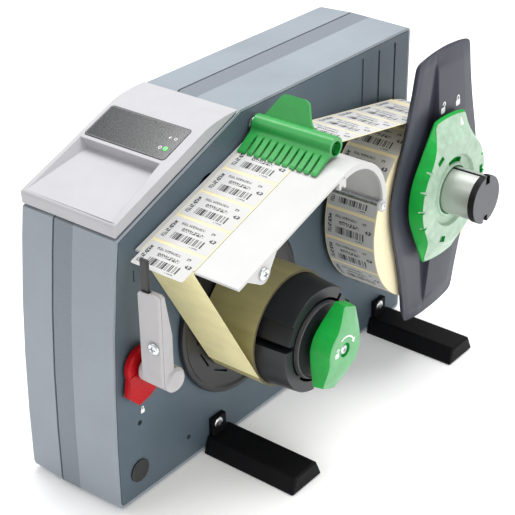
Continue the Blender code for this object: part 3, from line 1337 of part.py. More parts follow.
def make_webs():
    left = WEB_LEFT_X
    right = WEB_LEFT_X + WEB_WIDTH
    lift = FIT_GAP + WEB_THICKNESS / 2
    arch = arch_centre()
    middle = roll_centre()
    nose = nose_centre()
    roll_radius = ROLL_RADIUS + lift
    arch_radius = ARCH_RADIUS + lift
    leave = tangent_angle(middle, roll_radius, arch, arch_radius)
    top_turn = math.pi / 2 + TABLE_SLOPE
    path = [on_circle(middle, roll_radius, leave)]
    path += arc(arch, arch_radius, leave, top_turn, ARCH_STEPS // 4)
    path.append(on_circle(nose, NOSE_RADIUS + lift, top_turn))
    part("label_web", slab([ribbon(path, WEB_THICKNESS)], left, right), "label_white")

    winder = (WINDER_Y, WINDER_Z)
    wound = DRUM_RADIUS + FIT_GAP + LINER_WOUND_THICKNESS + lift
    band = NOSE_RADIUS + lift
    turn_end = tangent_angle(nose, band, winder, wound)
    start = top_turn + FIT_GAP * 2 / band
    if turn_end < start:
        turn_end += math.tau
    path = arc(nose, band, start, turn_end, NOSE_STEPS)
    path.append(on_circle(winder, wound, turn_end))
    part("liner_web", slab([ribbon(path, WEB_THICKNESS)], left, right), "liner_yellow")

    down = slope_vector()
    edge = Vector(on_circle(nose, band, top_turn))
    first = edge + down * (band + FIT_GAP)
    last = first + down * LABEL_TIP_REACH
    part("peeled_label", slab([ribbon([tuple(first), tuple(last)], WEB_THICKNESS)], left, right), "label_white")


def arm_top():
    return nose_centre()[1] - ARM_TOP_DROP


def arm_solid():
    left = ARM_TOP_LEFT_X
    right = left + ARM_TOP_WIDTH
    boss_right = ARM_BOSS_LEFT_X + ARM_BOSS_WIDTH - ARM_ROUND
    top = arm_top()
    outline = [
        (left, PIVOT_Z), (boss_right, PIVOT_Z), (boss_right, top - ARM_SHOULDER_DROP),
        (right, top - ARM_ROUND), (right - ARM_ROUND, top),
        (left + ARM_ROUND, top), (left, top - ARM_ROUND),
    ]
    return slab([outline], ARM_FRONT_Y, ARM_REAR_Y, "Y")


def make_sensor():
    origin = (0, PIVOT_Y, PIVOT_Z)
    pivot = (PIVOT_Y, PIVOT_Z)
    stud = part("pivot_stud", rod(FIT_GAP, STUD_END_X, *pivot, STUD_RADIUS, SMALL_ROUND_STEPS), "steel")
    join(stud, rod(
        FIT_GAP, FIT_GAP + STUD_BASE_THICKNESS / 2, *pivot, STUD_BASE_RADIUS, SMALL_ROUND_STEPS,
    ), "base")

    top = arm_top()
    low = PIVOT_Z - ARM_BOSS_RADIUS * 2
    high = top + OVERRUN
    back_slope = [
        (ARM_REAR_Y, top - ARM_SHOULDER_DROP), (ARM_REAR_Y + OVERRUN, top - ARM_SHOULDER_DROP),
        (ARM_REAR_Y + OVERRUN, high), (ARM_TOP_DEPTH, high), (ARM_TOP_DEPTH, top),
    ]
    boss_left = ARM_BOSS_LEFT_X
    boss_right = boss_left + ARM_BOSS_WIDTH
    wide_left = boss_left - OVERRUN
    wide_right = boss_right + OVERRUN
    deep = PIVOT_Y + ARM_BOSS_RADIUS * 2
    halves = (
        ("sensor_arm_front", ARM_SPLIT_Y, deep),
        ("sensor_arm_rear", -ARM_BOSS_RADIUS, ARM_SPLIT_Y + FIT_GAP),
    )
    finger_left = ARM_TOP_LEFT_X + FINGER_INSET_X
    finger_right = finger_left + FINGER_WIDTH
    finger_front = ARM_FRONT_Y + FINGER_INSET_Y
    finger_rear = finger_front + FINGER_THICKNESS
    finger_low = top - FINGER_DEPTH
    for name, cut_start, cut_end in halves:
        shell_half = part(name, arm_solid(), "sensor_grey", origin)
        cut(shell_half, slab([back_slope], wide_left, wide_right), "back_slope")
        join(shell_half, turned([
            (boss_left, 0), (boss_left, ARM_BOSS_RADIUS - ARM_ROUND),
            (boss_left + ARM_ROUND, ARM_BOSS_RADIUS), (boss_right - ARM_ROUND, ARM_BOSS_RADIUS),
            (boss_right, ARM_BOSS_RADIUS - ARM_ROUND), (boss_right, 0),
        ], *pivot), "boss")
        cut(shell_half, box((wide_left, cut_start, low), (wide_right, cut_end, high)), "split")
        cut(shell_half, box(
            (finger_left - FIT_GAP, finger_front - FIT_GAP, finger_low - FIT_GAP),
            (finger_right + FIT_GAP, finger_rear + FIT_GAP, high),
        ), "finger_slot")
        cut(shell_half, rod(
            wide_left, STUD_END_X + FIT_GAP, *pivot, STUD_RADIUS + RUNNING_GAP,
        ), "bore")
        screw_hole = y_rod(ARM_FRONT_Y - OVERRUN, ARM_REAR_Y - OVERRUN, ARM_SCREW_SHANK + FIT_GAP)
        cut(shell_half, screw_hole, "screw_hole")

    finger = part("sensor_finger", box(
        (finger_left, finger_front, finger_low), (finger_right, finger_rear, top + FINGER_RISE),
    ), "black_plastic", origin)
    soften(finger, ARM_ROUND / 2, 2)
    screw = part("arm_screw", y_rod(
        ARM_FRONT_Y - FIT_GAP - ARM_SCREW_HEAD, ARM_FRONT_Y - FIT_GAP, ARM_SCREW_RADIUS,
    ), "steel", origin)
    join(screw, y_rod(
        ARM_FRONT_Y - FIT_GAP - ARM_SCREW_HEAD / 2, ARM_REAR_Y - OVERRUN - FIT_GAP, ARM_SCREW_SHANK,
    ), "shank")

    end = CLAMP_START_X + CLAMP_THICKNESS
    lever = part("clamp_lever", turned([
        (CLAMP_START_X, 0), (CLAMP_START_X, CLAMP_RADIUS - CLAMP_ROUND),
        (CLAMP_START_X + CLAMP_ROUND, CLAMP_RADIUS), (end - CLAMP_ROUND, CLAMP_RADIUS),
        (end, CLAMP_RADIUS - CLAMP_ROUND), (end, 0),
    ], *pivot), "red_plastic", origin)
    handle = [
        (PIVOT_Y + CLAMP_HANDLE_LENGTH * back, PIVOT_Z - CLAMP_HANDLE_LENGTH * down)
        for back, down in CLAMP_HANDLE_SHARES
    ]
    join(lever, slab([handle], CLAMP_START_X + CLAMP_ROUND, end + CLAMP_ROUND / 2), "handle")
    cut(lever, rod(
        CLAMP_START_X - OVERRUN, end + OVERRUN, *pivot, STUD_RADIUS + RUNNING_GAP,
    ), "bore")


def y_rod(start_y, end_y, radius):
    """A cylinder along y at the arm's screw."""
    x = ARM_BOSS_LEFT_X + ARM_BOSS_WIDTH - ARM_SCREW_INSET_X
    z = PIVOT_Z + ARM_SCREW_RISE
    work = bmesh.new()
    bmesh.ops.create_cone(
        work, cap_ends=True, segments=SMALL_ROUND_STEPS, radius1=radius, radius2=radius,
        depth=end_y - start_y, matrix=TURNED["Y"],
    )
    bmesh.ops.translate(work, verts=work.verts, vec=(x, (start_y + end_y) / 2, z))
    return work


def main():
    clear_scene()
    make_materials()
    make_collections()
    make_root()
    make_housing()
    make_cap()
    make_plate()
    make_feet()
    make_winder()
    make_drive()
    make_electronics()
    make_inlet()
    make_supply()
    make_stop()
    make_table()
    make_comb()
    make_webs()
    make_sensor()


main()
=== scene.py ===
import json
import math

import bmesh
import bpy
from mathutils import Matrix, Vector

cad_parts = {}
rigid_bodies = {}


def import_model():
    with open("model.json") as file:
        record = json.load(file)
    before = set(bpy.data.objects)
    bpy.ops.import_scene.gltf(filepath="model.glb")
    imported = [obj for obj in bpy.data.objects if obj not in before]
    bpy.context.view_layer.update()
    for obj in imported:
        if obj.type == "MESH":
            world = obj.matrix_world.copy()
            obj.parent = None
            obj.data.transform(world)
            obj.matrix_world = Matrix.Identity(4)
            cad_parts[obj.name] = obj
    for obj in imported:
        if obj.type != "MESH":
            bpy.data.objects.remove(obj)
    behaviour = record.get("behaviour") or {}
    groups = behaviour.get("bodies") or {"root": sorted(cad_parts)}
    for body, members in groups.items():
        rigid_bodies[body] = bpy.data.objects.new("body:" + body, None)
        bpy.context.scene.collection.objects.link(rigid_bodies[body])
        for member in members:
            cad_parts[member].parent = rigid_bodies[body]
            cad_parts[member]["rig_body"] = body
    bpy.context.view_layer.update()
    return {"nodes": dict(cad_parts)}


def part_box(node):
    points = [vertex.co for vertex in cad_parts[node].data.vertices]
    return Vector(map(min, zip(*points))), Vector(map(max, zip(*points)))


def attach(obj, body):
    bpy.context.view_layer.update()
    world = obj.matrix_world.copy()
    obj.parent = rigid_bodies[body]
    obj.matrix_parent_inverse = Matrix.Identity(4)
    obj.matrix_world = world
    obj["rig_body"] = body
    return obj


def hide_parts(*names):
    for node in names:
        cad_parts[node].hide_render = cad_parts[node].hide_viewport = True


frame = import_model()

mm = 0.001


print("frame loaded")

# Pieces are drawn in millimetres: x from the plate's outer face, y from the cap's lip, z from the table top.
frontBulge = 14.4
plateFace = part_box("mounting_plate")[1][0]
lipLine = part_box("main_housing")[0][1] + frontBulge * mm
toRow = Matrix.Translation((plateFace, lipLine, 0)) @ Matrix.Scale(mm, 4)
fromRow = toRow.inverted()


def nodeBox(node):  # lowest and highest corner of a node, in millimetres
    low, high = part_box(node)
    return fromRow @ Vector(low), fromRow @ Vector(high)


def middleOf(node):
    low, high = nodeBox(node)
    return (low + high) / 2


# ---- objects and nodes
def link(name, data):
    piece = bpy.data.objects.new(name, data)
    bpy.context.scene.collection.objects.link(piece)
    return piece


def feed(tree, node, inputs):  # each input gets a value, or a link from a socket
    for socket, value in dict(inputs).items():
        if isinstance(value, bpy.types.NodeSocket):
            tree.links.new(value, node.inputs[socket])
        else:
            node.inputs[socket].default_value = value


def treeNode(tree, kind, inputs=(), **settings):
    node = tree.nodes.new("GeometryNode" + kind if hasattr(bpy.types, "GeometryNode" + kind) else "ShaderNode" + kind)
    for name, value in settings.items():
        setattr(node, name, value)
    feed(tree, node, inputs)
    return node


def calc(tree, operation, *values):  # a Math node, fed with numbers or sockets
    return treeNode(tree, "Math", enumerate(values), operation=operation).outputs[0]


def startFinish(name, metallic=0.0, coat=0.0, specular=0.5, coatRoughness=0.1):
    material = bpy.data.materials.new(name)
    material.use_nodes = True
    shader = material.node_tree.nodes["Principled BSDF"]
    feed(material.node_tree, shader, {
        "Metallic": metallic, "Specular IOR Level": specular, "Coat Weight": coat, "Coat Roughness": coatRoughness})
    return material, material.node_tree, shader


# ---- camera and light
photo = {
    "width": 515, "focal": 1352.874, "centreX": 279.507, "centreY": 262.209, "sensor": 36.0,
    "place": (0.5246, -0.69196, 0.60049), "yaw": 0.661, "pitch": -0.507, "roll": -0.005,
}


def makeCamera(values):
    data = bpy.data.cameras.new("photoCamera")
    width = values["width"]
    data.sensor_width = values["sensor"]
    data.lens = values["focal"] * values["sensor"] / width
    data.shift_x = (width / 2 - values["centreX"]) / width
    data.shift_y = (values["centreY"] - width / 2) / width
    data.clip_start = 0.01
    data.clip_end = 20
    yaw = Matrix.Rotation(values["yaw"], 4, "Z")
    tilt = Matrix.Rotation(math.pi / 2 + values["pitch"], 4, "X")
    roll = Matrix.Rotation(values["roll"], 4, "Z")
    camera = link("photoCamera", data)
    camera.matrix_world = Matrix.Translation(values["place"]) @ yaw @ tilt @ roll
    bpy.context.scene.camera = camera


studio = {
    "skyStrength": 0.62, "aim": (0, 0, 0.12), "floorHalf": 6.0, "floorGlow": 0.14, "floorShade": 0.95, "floorRoughness": 0.9,
    # name, place, size, watts, colour
    "lamps": (
        ("keyLamp", (-0.9, -1.5, 1.7), 1.3, 7, (1.0, 0.99, 0.97)),
        ("faceLamp", (1.9, -0.5, 0.6), 1.2, 12, (1.0, 1.0, 1.0)),
        ("topLamp", (0.1, 0.5, 2.0), 1.4, 38, (1.0, 1.0, 1.0)),
        ("streakLamp", (-0.95, 0.25, 1.75), 0.5, 6, (1.0, 1.0, 0.97)),
    ),
}


def makeStudio(values):
    world = bpy.data.worlds.new("studio")
    bpy.context.scene.world = world
    world.use_nodes = True
    feed(world.node_tree, world.node_tree.nodes["Background"], {"Color": (1, 1, 1, 1), "Strength": values["skyStrength"]})
    for name, place, size, watts, color in values["lamps"]:
        data = bpy.data.lights.new(name, "AREA")
        data.shape = "DISK"
        data.size = size
        data.energy = watts
        data.color = color
        aim = (Vector(values["aim"]) - Vector(place)).to_track_quat("-Z", "Y")
        link(name, data).matrix_world = Matrix.Translation(place) @ aim.to_matrix().to_4x4()
    bpy.context.scene.view_settings.view_transform = "Standard"
    half, shade = values["floorHalf"], values["floorShade"]
    mesh = bpy.data.meshes.new("studioFloor")
    mesh.from_pydata([(-half, -half, 0), (half, -half, 0), (half, half, 0), (-half, half, 0)], [], [(0, 1, 2, 3)])
    paper, tree, shader = startFinish("floorPaper")
    feed(tree, shader, {
        "Base Color": (shade, shade, shade, 1), "Roughness": values["floorRoughness"],
        "Emission Color": (1, 1, 1, 1), "Emission Strength": values["floorGlow"]})
    mesh.materials.append(paper)
    link("studioFloor", mesh)


makeCamera(photo)
makeStudio(studio)
print("camera and studio ready")


# ---- finishes
def mixColors(tree, share, *colors):
    ends = [(*color, 1) if isinstance(color, tuple) else color for color in colors]
    return treeNode(tree, "Mix", zip((0, 6, 7), (share, *ends)), data_type="RGBA").outputs[2]


def objectPlace(tree):
    return treeNode(tree, "TexCoord").outputs["Object"]


def surfaceNoise(tree, size, detail=2.0, stretch=(1, 1, 1)):  # size in millimetres, stretched along an axis
    scale = tuple(1 / (size * mm * along) for along in stretch)
    mapping = treeNode(tree, "Mapping", {"Vector": objectPlace(tree), "Scale": scale})
    return treeNode(tree, "TexNoise", {"Vector": mapping.outputs[0], "Scale": 1.0, "Detail": detail}).outputs["Fac"]


def spread(tree, value, low, high):  # the middle of a noise spread between two values
    return treeNode(tree, "MapRange", {
        "Value": value, "From Min": 0.3, "From Max": 0.7, "To Min": low, "To Max": high}).outputs["Result"]


def drifting(tree, noise, color, depth):  # a colour that grows darker and lighter with a noise
    ends = [tuple(min(channel * factor, 1.0) for channel in color) for factor in (1 - depth, 1 + depth)]
    return mixColors(tree, spread(tree, noise, 0, 1), *ends)


def setSurface(tree, shader, color, grain, roughness, depth):
    bump = treeNode(tree, "Bump", {"Strength": 1.0, "Distance": depth * mm, "Height": grain})
    feed(tree, shader, {
        "Base Color": color, "Normal": bump.outputs["Normal"],
        "Roughness": spread(tree, grain, *roughness) if isinstance(roughness, tuple) else roughness})


def makeFinish(name, color, roughness, cloud, cloudSize, grainSize, grainDepth, streak=(1, 1, 1), **special):
    material, tree, shader = startFinish(name, **special)
    clouds = surfaceNoise(tree, cloudSize, 4.0, streak)
    setSurface(tree, shader, drifting(tree, clouds, color, cloud), surfaceNoise(tree, grainSize), roughness, grainDepth)
    return material


# colour, roughness from and to, depth and size of the clouds, size and depth of the grain, then what is special
finishRows = {
    "plateSheet": ((0.085, 0.118, 0.148), (0.45, 0.58), 0.14, 70, 0.7, 0.02, {"metallic": 0.25}),
    "capPlastic": ((0.43, 0.425, 0.445), (0.42, 0.55), 0.025, 18, 0.45, 0.012),
    "panelSheet": ((0.022, 0.023, 0.027), (0.2, 0.3), 0.25, 30, 0.6, 0.004, {"coat": 0.3}),
    "panelLine": ((0.16, 0.165, 0.175), (0.4, 0.5), 0.05, 18, 0.5, 0.003),
    "blackGloss": ((0.010, 0.010, 0.012), (0.28, 0.4), 0.2, 18, 0.6, 0.01),
    "blackGrained": ((0.003, 0.003, 0.004), (0.5, 0.65), 0.2, 18, 0.8, 0.03, {"specular": 0.14}),
    "rubber": ((0.016, 0.016, 0.017), (0.7, 0.85), 0.2, 18, 0.6, 0.02),
    "stopPlastic": ((0.042, 0.045, 0.062), (0.38, 0.5), 0.08, 18, 0.5, 0.012, {"specular": 0.35}),
    "greenPlastic": ((0.002, 0.33, 0.04), (0.3, 0.42), 0.1, 9, 0.6, 0.012, {"specular": 0.35}),
    # greenFace and knobFace are paler greens for knob faces that look forward, a painted highlight for their glare
    "greenFace": ((0.35, 0.49, 0.37), (0.35, 0.5), 0.14, 7, 0.9, 0.012, {"specular": 0.6}),
    "knobFace": ((0.115, 0.38, 0.155), (0.3, 0.45), 0.1, 8, 0.7, 0.01),
    "combGreen": ((0.012, 0.285, 0.045), (0.35, 0.45), 0.08, 10, 0.5, 0.006, {"coat": 0.45, "coatRoughness": 0.3}),
    "redPlastic": ((0.42, 0.002, 0.006), (0.22, 0.34), 0.08, 18, 0.6, 0.008, {"specular": 0.2}),
    "sensorPlastic": ((0.42, 0.41, 0.42), (0.45, 0.6), 0.05, 18, 0.4, 0.015),
    "whiteSheet": ((0.51, 0.51, 0.505), (0.3, 0.42), 0.02, 18, 0.6, 0.006),
    "tubeAluminium": ((0.56, 0.57, 0.55), (0.4, 0.46), 0.02, 18, 0.3, 0.0008, {"metallic": 0.85}),
    # painted shade for the floor of the tube's groove
    "grooveDark": ((0.02, 0.021, 0.023), (0.6, 0.7), 0.1, 18, 0.5, 0.01),
    "screwSteel": ((0.62, 0.64, 0.66), (0.2, 0.32), 0.08, 3, 0.4, 0.006, {"metallic": 1.0}),
    "endCap": ((0.085, 0.087, 0.096), (0.4, 0.55), 0.06, 18, 0.5, 0.012),
    "capRim": ((0.006, 0.006, 0.007), (0.35, 0.5), 0.1, 18, 0.5, 0.004, {"specular": 0.25}),
    "linerPaper": ((0.93, 0.86, 0.48), (0.35, 0.5), 0.07, 14, 0.8, 0.006),
    "gapPaper": ((0.72, 0.64, 0.40), (0.4, 0.5), 0.05, 14, 0.8, 0.005),
    "woundPaper": ((0.42, 0.375, 0.17), (0.4, 0.55), 0.1, 6, 0.5, 0.006, {"streak": (6, 1, 1)}),
    # painted shade for the end ring of the wound liner
    "woundEdge": ((0.11, 0.095, 0.045), (0.6, 0.7), 0.15, 4, 0.5, 0.01),
    "coreCard": ((0.42, 0.29, 0.17), (0.75, 0.9), 0.12, 4, 0.5, 0.03),
    "boardGreen": ((0.015, 0.16, 0.05), (0.3, 0.45), 0.1, 18, 0.6, 0.01),
    "signWhite": ((0.82, 0.84, 0.83), (0.5, 0.6), 0.02, 18, 0.5, 0.003),
    "drumBlack": ((0.010, 0.011, 0.014), (0.34, 0.46), 0.2, 18, 0.6, 0.01),
    "ringGrey": ((0.085, 0.08, 0.082), (0.35, 0.45), 0.08, 18, 0.5, 0.006),
}
finishes = {name: makeFinish(name, *row[:6], **dict(*row[6:])) for name, row in finishRows.items()}

# the housing paint, with a darker band that is painted shade on the strip between the seam and the ramp
paintWithShadeBand = {
    "color": (0.232, 0.268, 0.306), "cloud": 0.07, "cloudSize": 60, "shadeBandColor": (0.148, 0.170, 0.203), "seam": -53.6, "ramp": -36.3,
    "roughness": (0.36, 0.5), "fleckSize": 0.55, "fleckDepth": 0.012, "fleckShare": 0.12, "fleckColor": (0.62, 0.64, 0.66),
}


def makeHousingPaint(values):  # grey paint with a fine fleck; the strip between the seam and the ramp is painted darker, a painted shade for its slope
    material, tree, shader = startFinish("housingPaint", 0.1)
    across = treeNode(tree, "SeparateXYZ", {0: objectPlace(tree)}).outputs["X"]
    # the strip between the seam and the ramp takes the painted shade colour
    inside = calc(tree, "MULTIPLY", calc(tree, "GREATER_THAN", across, plateFace + values["seam"] * mm),
                  calc(tree, "LESS_THAN", across, plateFace + values["ramp"] * mm))
    plain = drifting(tree, surfaceNoise(tree, values["cloudSize"], 3.0), values["color"], values["cloud"])
    fleck = surfaceNoise(tree, values["fleckSize"], 3.0)
    color = mixColors(tree, inside, plain, values["shadeBandColor"])
    color = mixColors(tree, spread(tree, fleck, 0.0, values["fleckShare"]), color, values["fleckColor"])
    setSurface(tree, shader, color, fleck, values["roughness"], values["fleckDepth"])
    return material


finishes["housingPaint"] = makeHousingPaint(paintWithShadeBand)

labelPrint = {
    "width": 43.2, "length": 22.2, "corner": 1.4, "thick": 0.09,
    "paper": (0.53, 0.53, 0.525), "cloud": 0.03, "ink": (0.035, 0.035, 0.04),
    "roughness": (0.45, 0.6), "grainSize": 0.8, "grainDepth": 0.006,
    # across from and to, along from and to, cell across, cell along (none for bars), share of ink
    "rows": (
        (9.0, 35.0, 3.6, 9.6, 0.42, 0, 0.52), (12.0, 30.5, 11.8, 14.6, 0.5, 0.7, 0.52), (8.5, 27.5, 16.8, 18.8, 0.42, 0.5, 0.5),
        (33.0, 36.2, 16.6, 18.6, 0.45, 0.5, 0.55), (35.8, 41.0, 10.6, 13.4, 0.9, 0.7, 0.62),
        (27.0, 33.5, 1.6, 2.6, 0.4, 0.35, 0.45), (2.2, 5.4, 3.0, 18.6, 0.7, 0.6, 0.6),
    ),
}


def makePrintedLabel(values):  # plain bars and marks, drawn in the label's own millimetres
    material, tree, shader = startFinish("printedLabel")
    place = treeNode(tree, "UVMap", uv_map="labelPlace")
    parts = treeNode(tree, "SeparateXYZ", {0: place.outputs["UV"]}).outputs
    across, along = (calc(tree, "MULTIPLY", parts[axis], 100.0) for axis in "XY")
    ink = 0.0
    for index, (left, right, low, high, cellX, cellY, share) in enumerate(values["rows"]):
        cells = treeNode(tree, "CombineXYZ", {
            "X": calc(tree, "FLOOR", calc(tree, "DIVIDE", across, cellX)),
            "Y": calc(tree, "FLOOR", calc(tree, "DIVIDE", along, cellY)) if cellY else 0.0, "Z": index + 3.5})
        white = treeNode(tree, "TexWhiteNoise", {"Vector": cells.outputs[0]}, noise_dimensions="3D")
        mark = calc(tree, "LESS_THAN", white.outputs["Value"], share)
        for test, line, limit in (
                ("GREATER_THAN", across, left), ("LESS_THAN", across, right), ("GREATER_THAN", along, low), ("LESS_THAN", along, high)):
            mark = calc(tree, "MULTIPLY", mark, calc(tree, test, line, limit))
        ink = calc(tree, "MAXIMUM", ink, mark)
    fibre = surfaceNoise(tree, values["grainSize"], 3.0)
    color = mixColors(tree, ink, drifting(tree, fibre, values["paper"], values["cloud"]), values["ink"])
    setSurface(tree, shader, color, fibre, values["roughness"], values["grainDepth"])
    return material


finishes["printedLabel"] = makePrintedLabel(labelPrint)
rollSide = {"light": (0.95, 0.88, 0.66), "dark": (0.84, 0.72, 0.42), "ringsPerMetre": 2600, "roughness": 0.6, "grainDepth": 0.02}
lampGreen = {
    "dark": (0.05, 0.85, 0.1), "light": (0.2, 1.0, 0.25), "cloudSize": 1.5, "glow": (0.1, 1.0, 0.15), "glowStrength": 0.7,
    "roughness": 0.25,
}


def makeRollSide(values):  # the wound edge: fine rings about the roll's axis
    material, tree, shader = startFinish("rollSide")
    middle = toRow @ middleOf("label_roll")
    mapping = treeNode(tree, "Mapping", {"Vector": objectPlace(tree), "Location": (0, -middle.y, -middle.z)})
    parts = treeNode(tree, "SeparateXYZ", {0: mapping.outputs[0]}).outputs
    squares = [calc(tree, "MULTIPLY", parts[axis], parts[axis]) for axis in "YZ"]
    radius = calc(tree, "SQRT", calc(tree, "ADD", *squares))
    noise = treeNode(tree, "TexNoise", {"W": radius, "Scale": values["ringsPerMetre"], "Detail": 3}, noise_dimensions="1D")
    rings = noise.outputs["Fac"]
    color = mixColors(tree, spread(tree, rings, 0, 1), values["dark"], values["light"])
    setSurface(tree, shader, color, rings, values["roughness"], values["grainDepth"])
    return material


def makeGlow(values):
    material, tree, shader = startFinish("lampGreen")
    color = mixColors(tree, spread(tree, surfaceNoise(tree, values["cloudSize"]), 0, 1), values["dark"], values["light"])
    feed(tree, shader, {
        "Base Color": color, "Emission Color": (*values["glow"], 1), "Emission Strength": values["glowStrength"],
        "Roughness": values["roughness"]})
    return material


finishes["rollSide"] = makeRollSide(rollSide)
finishes["lampGreen"] = makeGlow(lampGreen)
print("finishes ready")

nodeFinishes = {
    "housingPaint": ("left_cover", "main_housing"),
    "rubber": ("seam_gasket", "front_pad", "rear_pad", "drive_belt"),
    "capPlastic": ("control_cap",),
    "panelSheet": ("control_panel",),
    "lampGreen": ("status_led",),
    "plateSheet": ("mounting_plate",),
    "blackGloss": ("hole_plug", "drum_core", "drum_jaw_1", "drum_jaw_2", "drum_jaw_3", "winder_flange", "sensor_finger",
                   "winder_pulley", "power_inlet", "power_switch"),
    "blackGrained": ("front_foot", "rear_foot", "power_supply", "drive_motor"),
    "screwSteel": ("front_foot_screw", "rear_foot_screw", "winder_bearing", "winder_spindle", "knob_screw", "front_bar",
                   "front_bar_screw", "rear_bar", "rear_bar_screw", "comb_axle", "pivot_stud", "arm_screw"),
    "greenPlastic": ("winder_knob", "stop_knob", "pressure_comb"),
    "redPlastic": ("clamp_lever",),
    "sensorPlastic": ("sensor_arm_front", "sensor_arm_rear"),
    "whiteSheet": ("dispensing_table",),
    "tubeAluminium": ("supply_tube", "motor_pulley"),
    "endCap": ("tube_end_cap",),
    "stopPlastic": ("margin_stop",),
    "linerPaper": ("wound_liner", "liner_web", "label_web", "peeled_label", "label_roll"),
    "coreCard": ("paper_core",),
    "boardGreen": ("circuit_board",),
}
for finish, names in nodeFinishes.items():
    for name in names:
        node = frame["nodes"][name]
        node.data.materials.clear()
        node.data.materials.append(finishes[finish])


# ---- making and finishing meshes
def plainMesh(holder, name):  # modifiers and curves turned into one plain mesh at the origin
    bpy.context.view_layer.update()
    depsgraph = bpy.context.evaluated_depsgraph_get()
    mesh = bpy.data.meshes.new_from_object(holder.evaluated_get(depsgraph), depsgraph=depsgraph)
    mesh.transform(holder.matrix_world)
    mesh.name = name
    bpy.data.objects.remove(holder)
    return link(name, mesh)


def soften(holder, width, segments=3, angle=30):
    bevel = holder.modifiers.new("edges", "BEVEL")
    bevel.width = width * mm
    bevel.segments = segments
    bevel.limit_method = "ANGLE"
    bevel.angle_limit = math.radians(angle)


def smoothed(piece, angle=35):
    piece.data.shade_smooth()
    piece.data.set_sharp_from_angle(angle=math.radians(angle))


def fromWork(work, name, place):
    bmesh.ops.recalc_face_normals(work, faces=work.faces)
    work.transform(place)
    mesh = bpy.data.meshes.new(name)
    work.to_mesh(mesh)
    work.free()
    return link(name, mesh)


def meshOf(work, name, merge=0.002):  # a bmesh in millimetres becomes an object in the row frame
    bmesh.ops.remove_doubles(work, verts=work.verts, dist=merge)
    return fromWork(work, name, toRow)


def shapeAtOrigin(work, name):  # a shape for a tree, in metres about its own origin
    return fromWork(work, name, Matrix.Scale(mm, 4))


def dress(piece, finish, body, stands=()):
    piece.data.materials.clear()
    for name in (finish if isinstance(finish, tuple) else (finish,)):
        piece.data.materials.append(finishes[name])
    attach(piece, body)
    if stands:
        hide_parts(*stands)
    return piece


def turned(profile, axis, name, finish, body, stands=(), steps=128, angle=35):  # a whole piece from one profile
    piece = meshOf(spun(profile, axis, steps), name)
    smoothed(piece, angle)
    return dress(piece, finish, body, stands)


def paleFace(piece, beyond, lean):  # what looks forward beyond a place takes the second finish
    limit = (toRow @ Vector((beyond, 0, 0))).x
    for polygon in piece.data.polygons:
        polygon.material_index = 1 if polygon.normal.x > lean and polygon.center.x > limit else 0


def rounded(holder, name, width, segments=3, angle=30, smooth=40):
    soften(holder, width, segments, angle)
    weigh = holder.modifiers.new("evenLight", "WEIGHTED_NORMAL")
    weigh.keep_sharp = True
    smoothed(holder, smooth)
    return plainMesh(holder, name)


def refine(node, width, segments=2):  # a softened copy of a node takes its place
    original = frame["nodes"][node]
    work = bmesh.new()
    work.from_mesh(original.data)
    bmesh.ops.remove_doubles(work, verts=work.verts, dist=0.01 * mm)
    bmesh.ops.dissolve_limit(work, angle_limit=math.radians(1.5), verts=work.verts, edges=work.edges)
    mesh = bpy.data.meshes.new(node + "Fine")
    work.to_mesh(mesh)
    work.free()
    holder = link(node + "Fine", mesh)
    holder.data.materials.append(original.data.materials[0])
    fine = rounded(holder, node + "Fine", width, segments, 28)
    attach(fine, original["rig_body"])
    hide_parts(node)
    return fine


def hull(points):
    work = bmesh.new()
    for point in points:
        work.verts.new(point)
    bmesh.ops.convex_hull(work, input=work.verts)
    return work


def block(low, high):
    return hull([(x, y, z) for x in (low[0], high[0]) for y in (low[1], high[1]) for z in (low[2], high[2])])


def skin(rings, closeStart=True, closeEnd=True, loop=True):  # rings of points, each with the same number
    work = bmesh.new()
    rows = [[work.verts.new(point) for point in ring] for ring in rings]
    count = len(rows[0])
    for near, far in zip(rows, rows[1:]):
        for index in range(count if loop else count - 1):
            after = (index + 1) % count
            work.faces.new((near[index], near[after], far[after], far[index]))
    if closeStart:
        work.faces.new(list(reversed(rows[0])))
    if closeEnd:
        work.faces.new(rows[-1])
    return work


def onCircle(centre, radius, turn):
    return (centre[0] + radius * math.cos(turn), centre[1] + radius * math.sin(turn))


def spun(profile, centre, steps=96):  # a closed profile of (x, radius) turned about an axis along x
    turns = [math.tau * step / steps for step in range(steps)]
    rings = [[(x, *onCircle(centre, radius, turn)) for x, radius in profile] for turn in turns]
    return skin(rings + rings[:1], False, False)


def arc(centre, radius, start, end, steps):
    return [onCircle(centre, radius, start + (end - start) * step / steps) for step in range(steps + 1)]


def sidesOf(outline):  # each point of a closed outline with the one after it
    return zip(outline, outline[1:] + outline[:1])


def smoothLoop(points, rounds=2):  # cuts the corners of a closed outline evenly
    for _ in range(rounds):
        points = [tuple(a * (1 - share) + b * share for a, b in zip(point, after))
                  for point, after in sidesOf(points) for share in (0.25, 0.75)]
    return points


def joined(works):
    result = works[0]
    for work in works[1:]:
        mesh = bpy.data.meshes.new("joined")
        work.to_mesh(mesh)
        work.free()
        result.from_mesh(mesh)
        bpy.data.meshes.remove(mesh)
    return result


def slab(outline, low, high):  # an outline of (y, z) pushed along x
    return skin([[(low, y, z) for y, z in outline], [(high, y, z) for y, z in outline]])


def prism(place, outline, low, high):  # an outline laid on a surface by the function that places it
    return skin([[place(a, b, low) for a, b in outline], [place(a, b, high) for a, b in outline]])


def ringPrism(place, outer, inner, low, high):
    rings = [[place(a, b, lift) for a, b in loop] for loop, lift in (
        (outer, low), (outer, high), (inner, high), (inner, low), (outer, low))]
    return skin(rings, False, False)


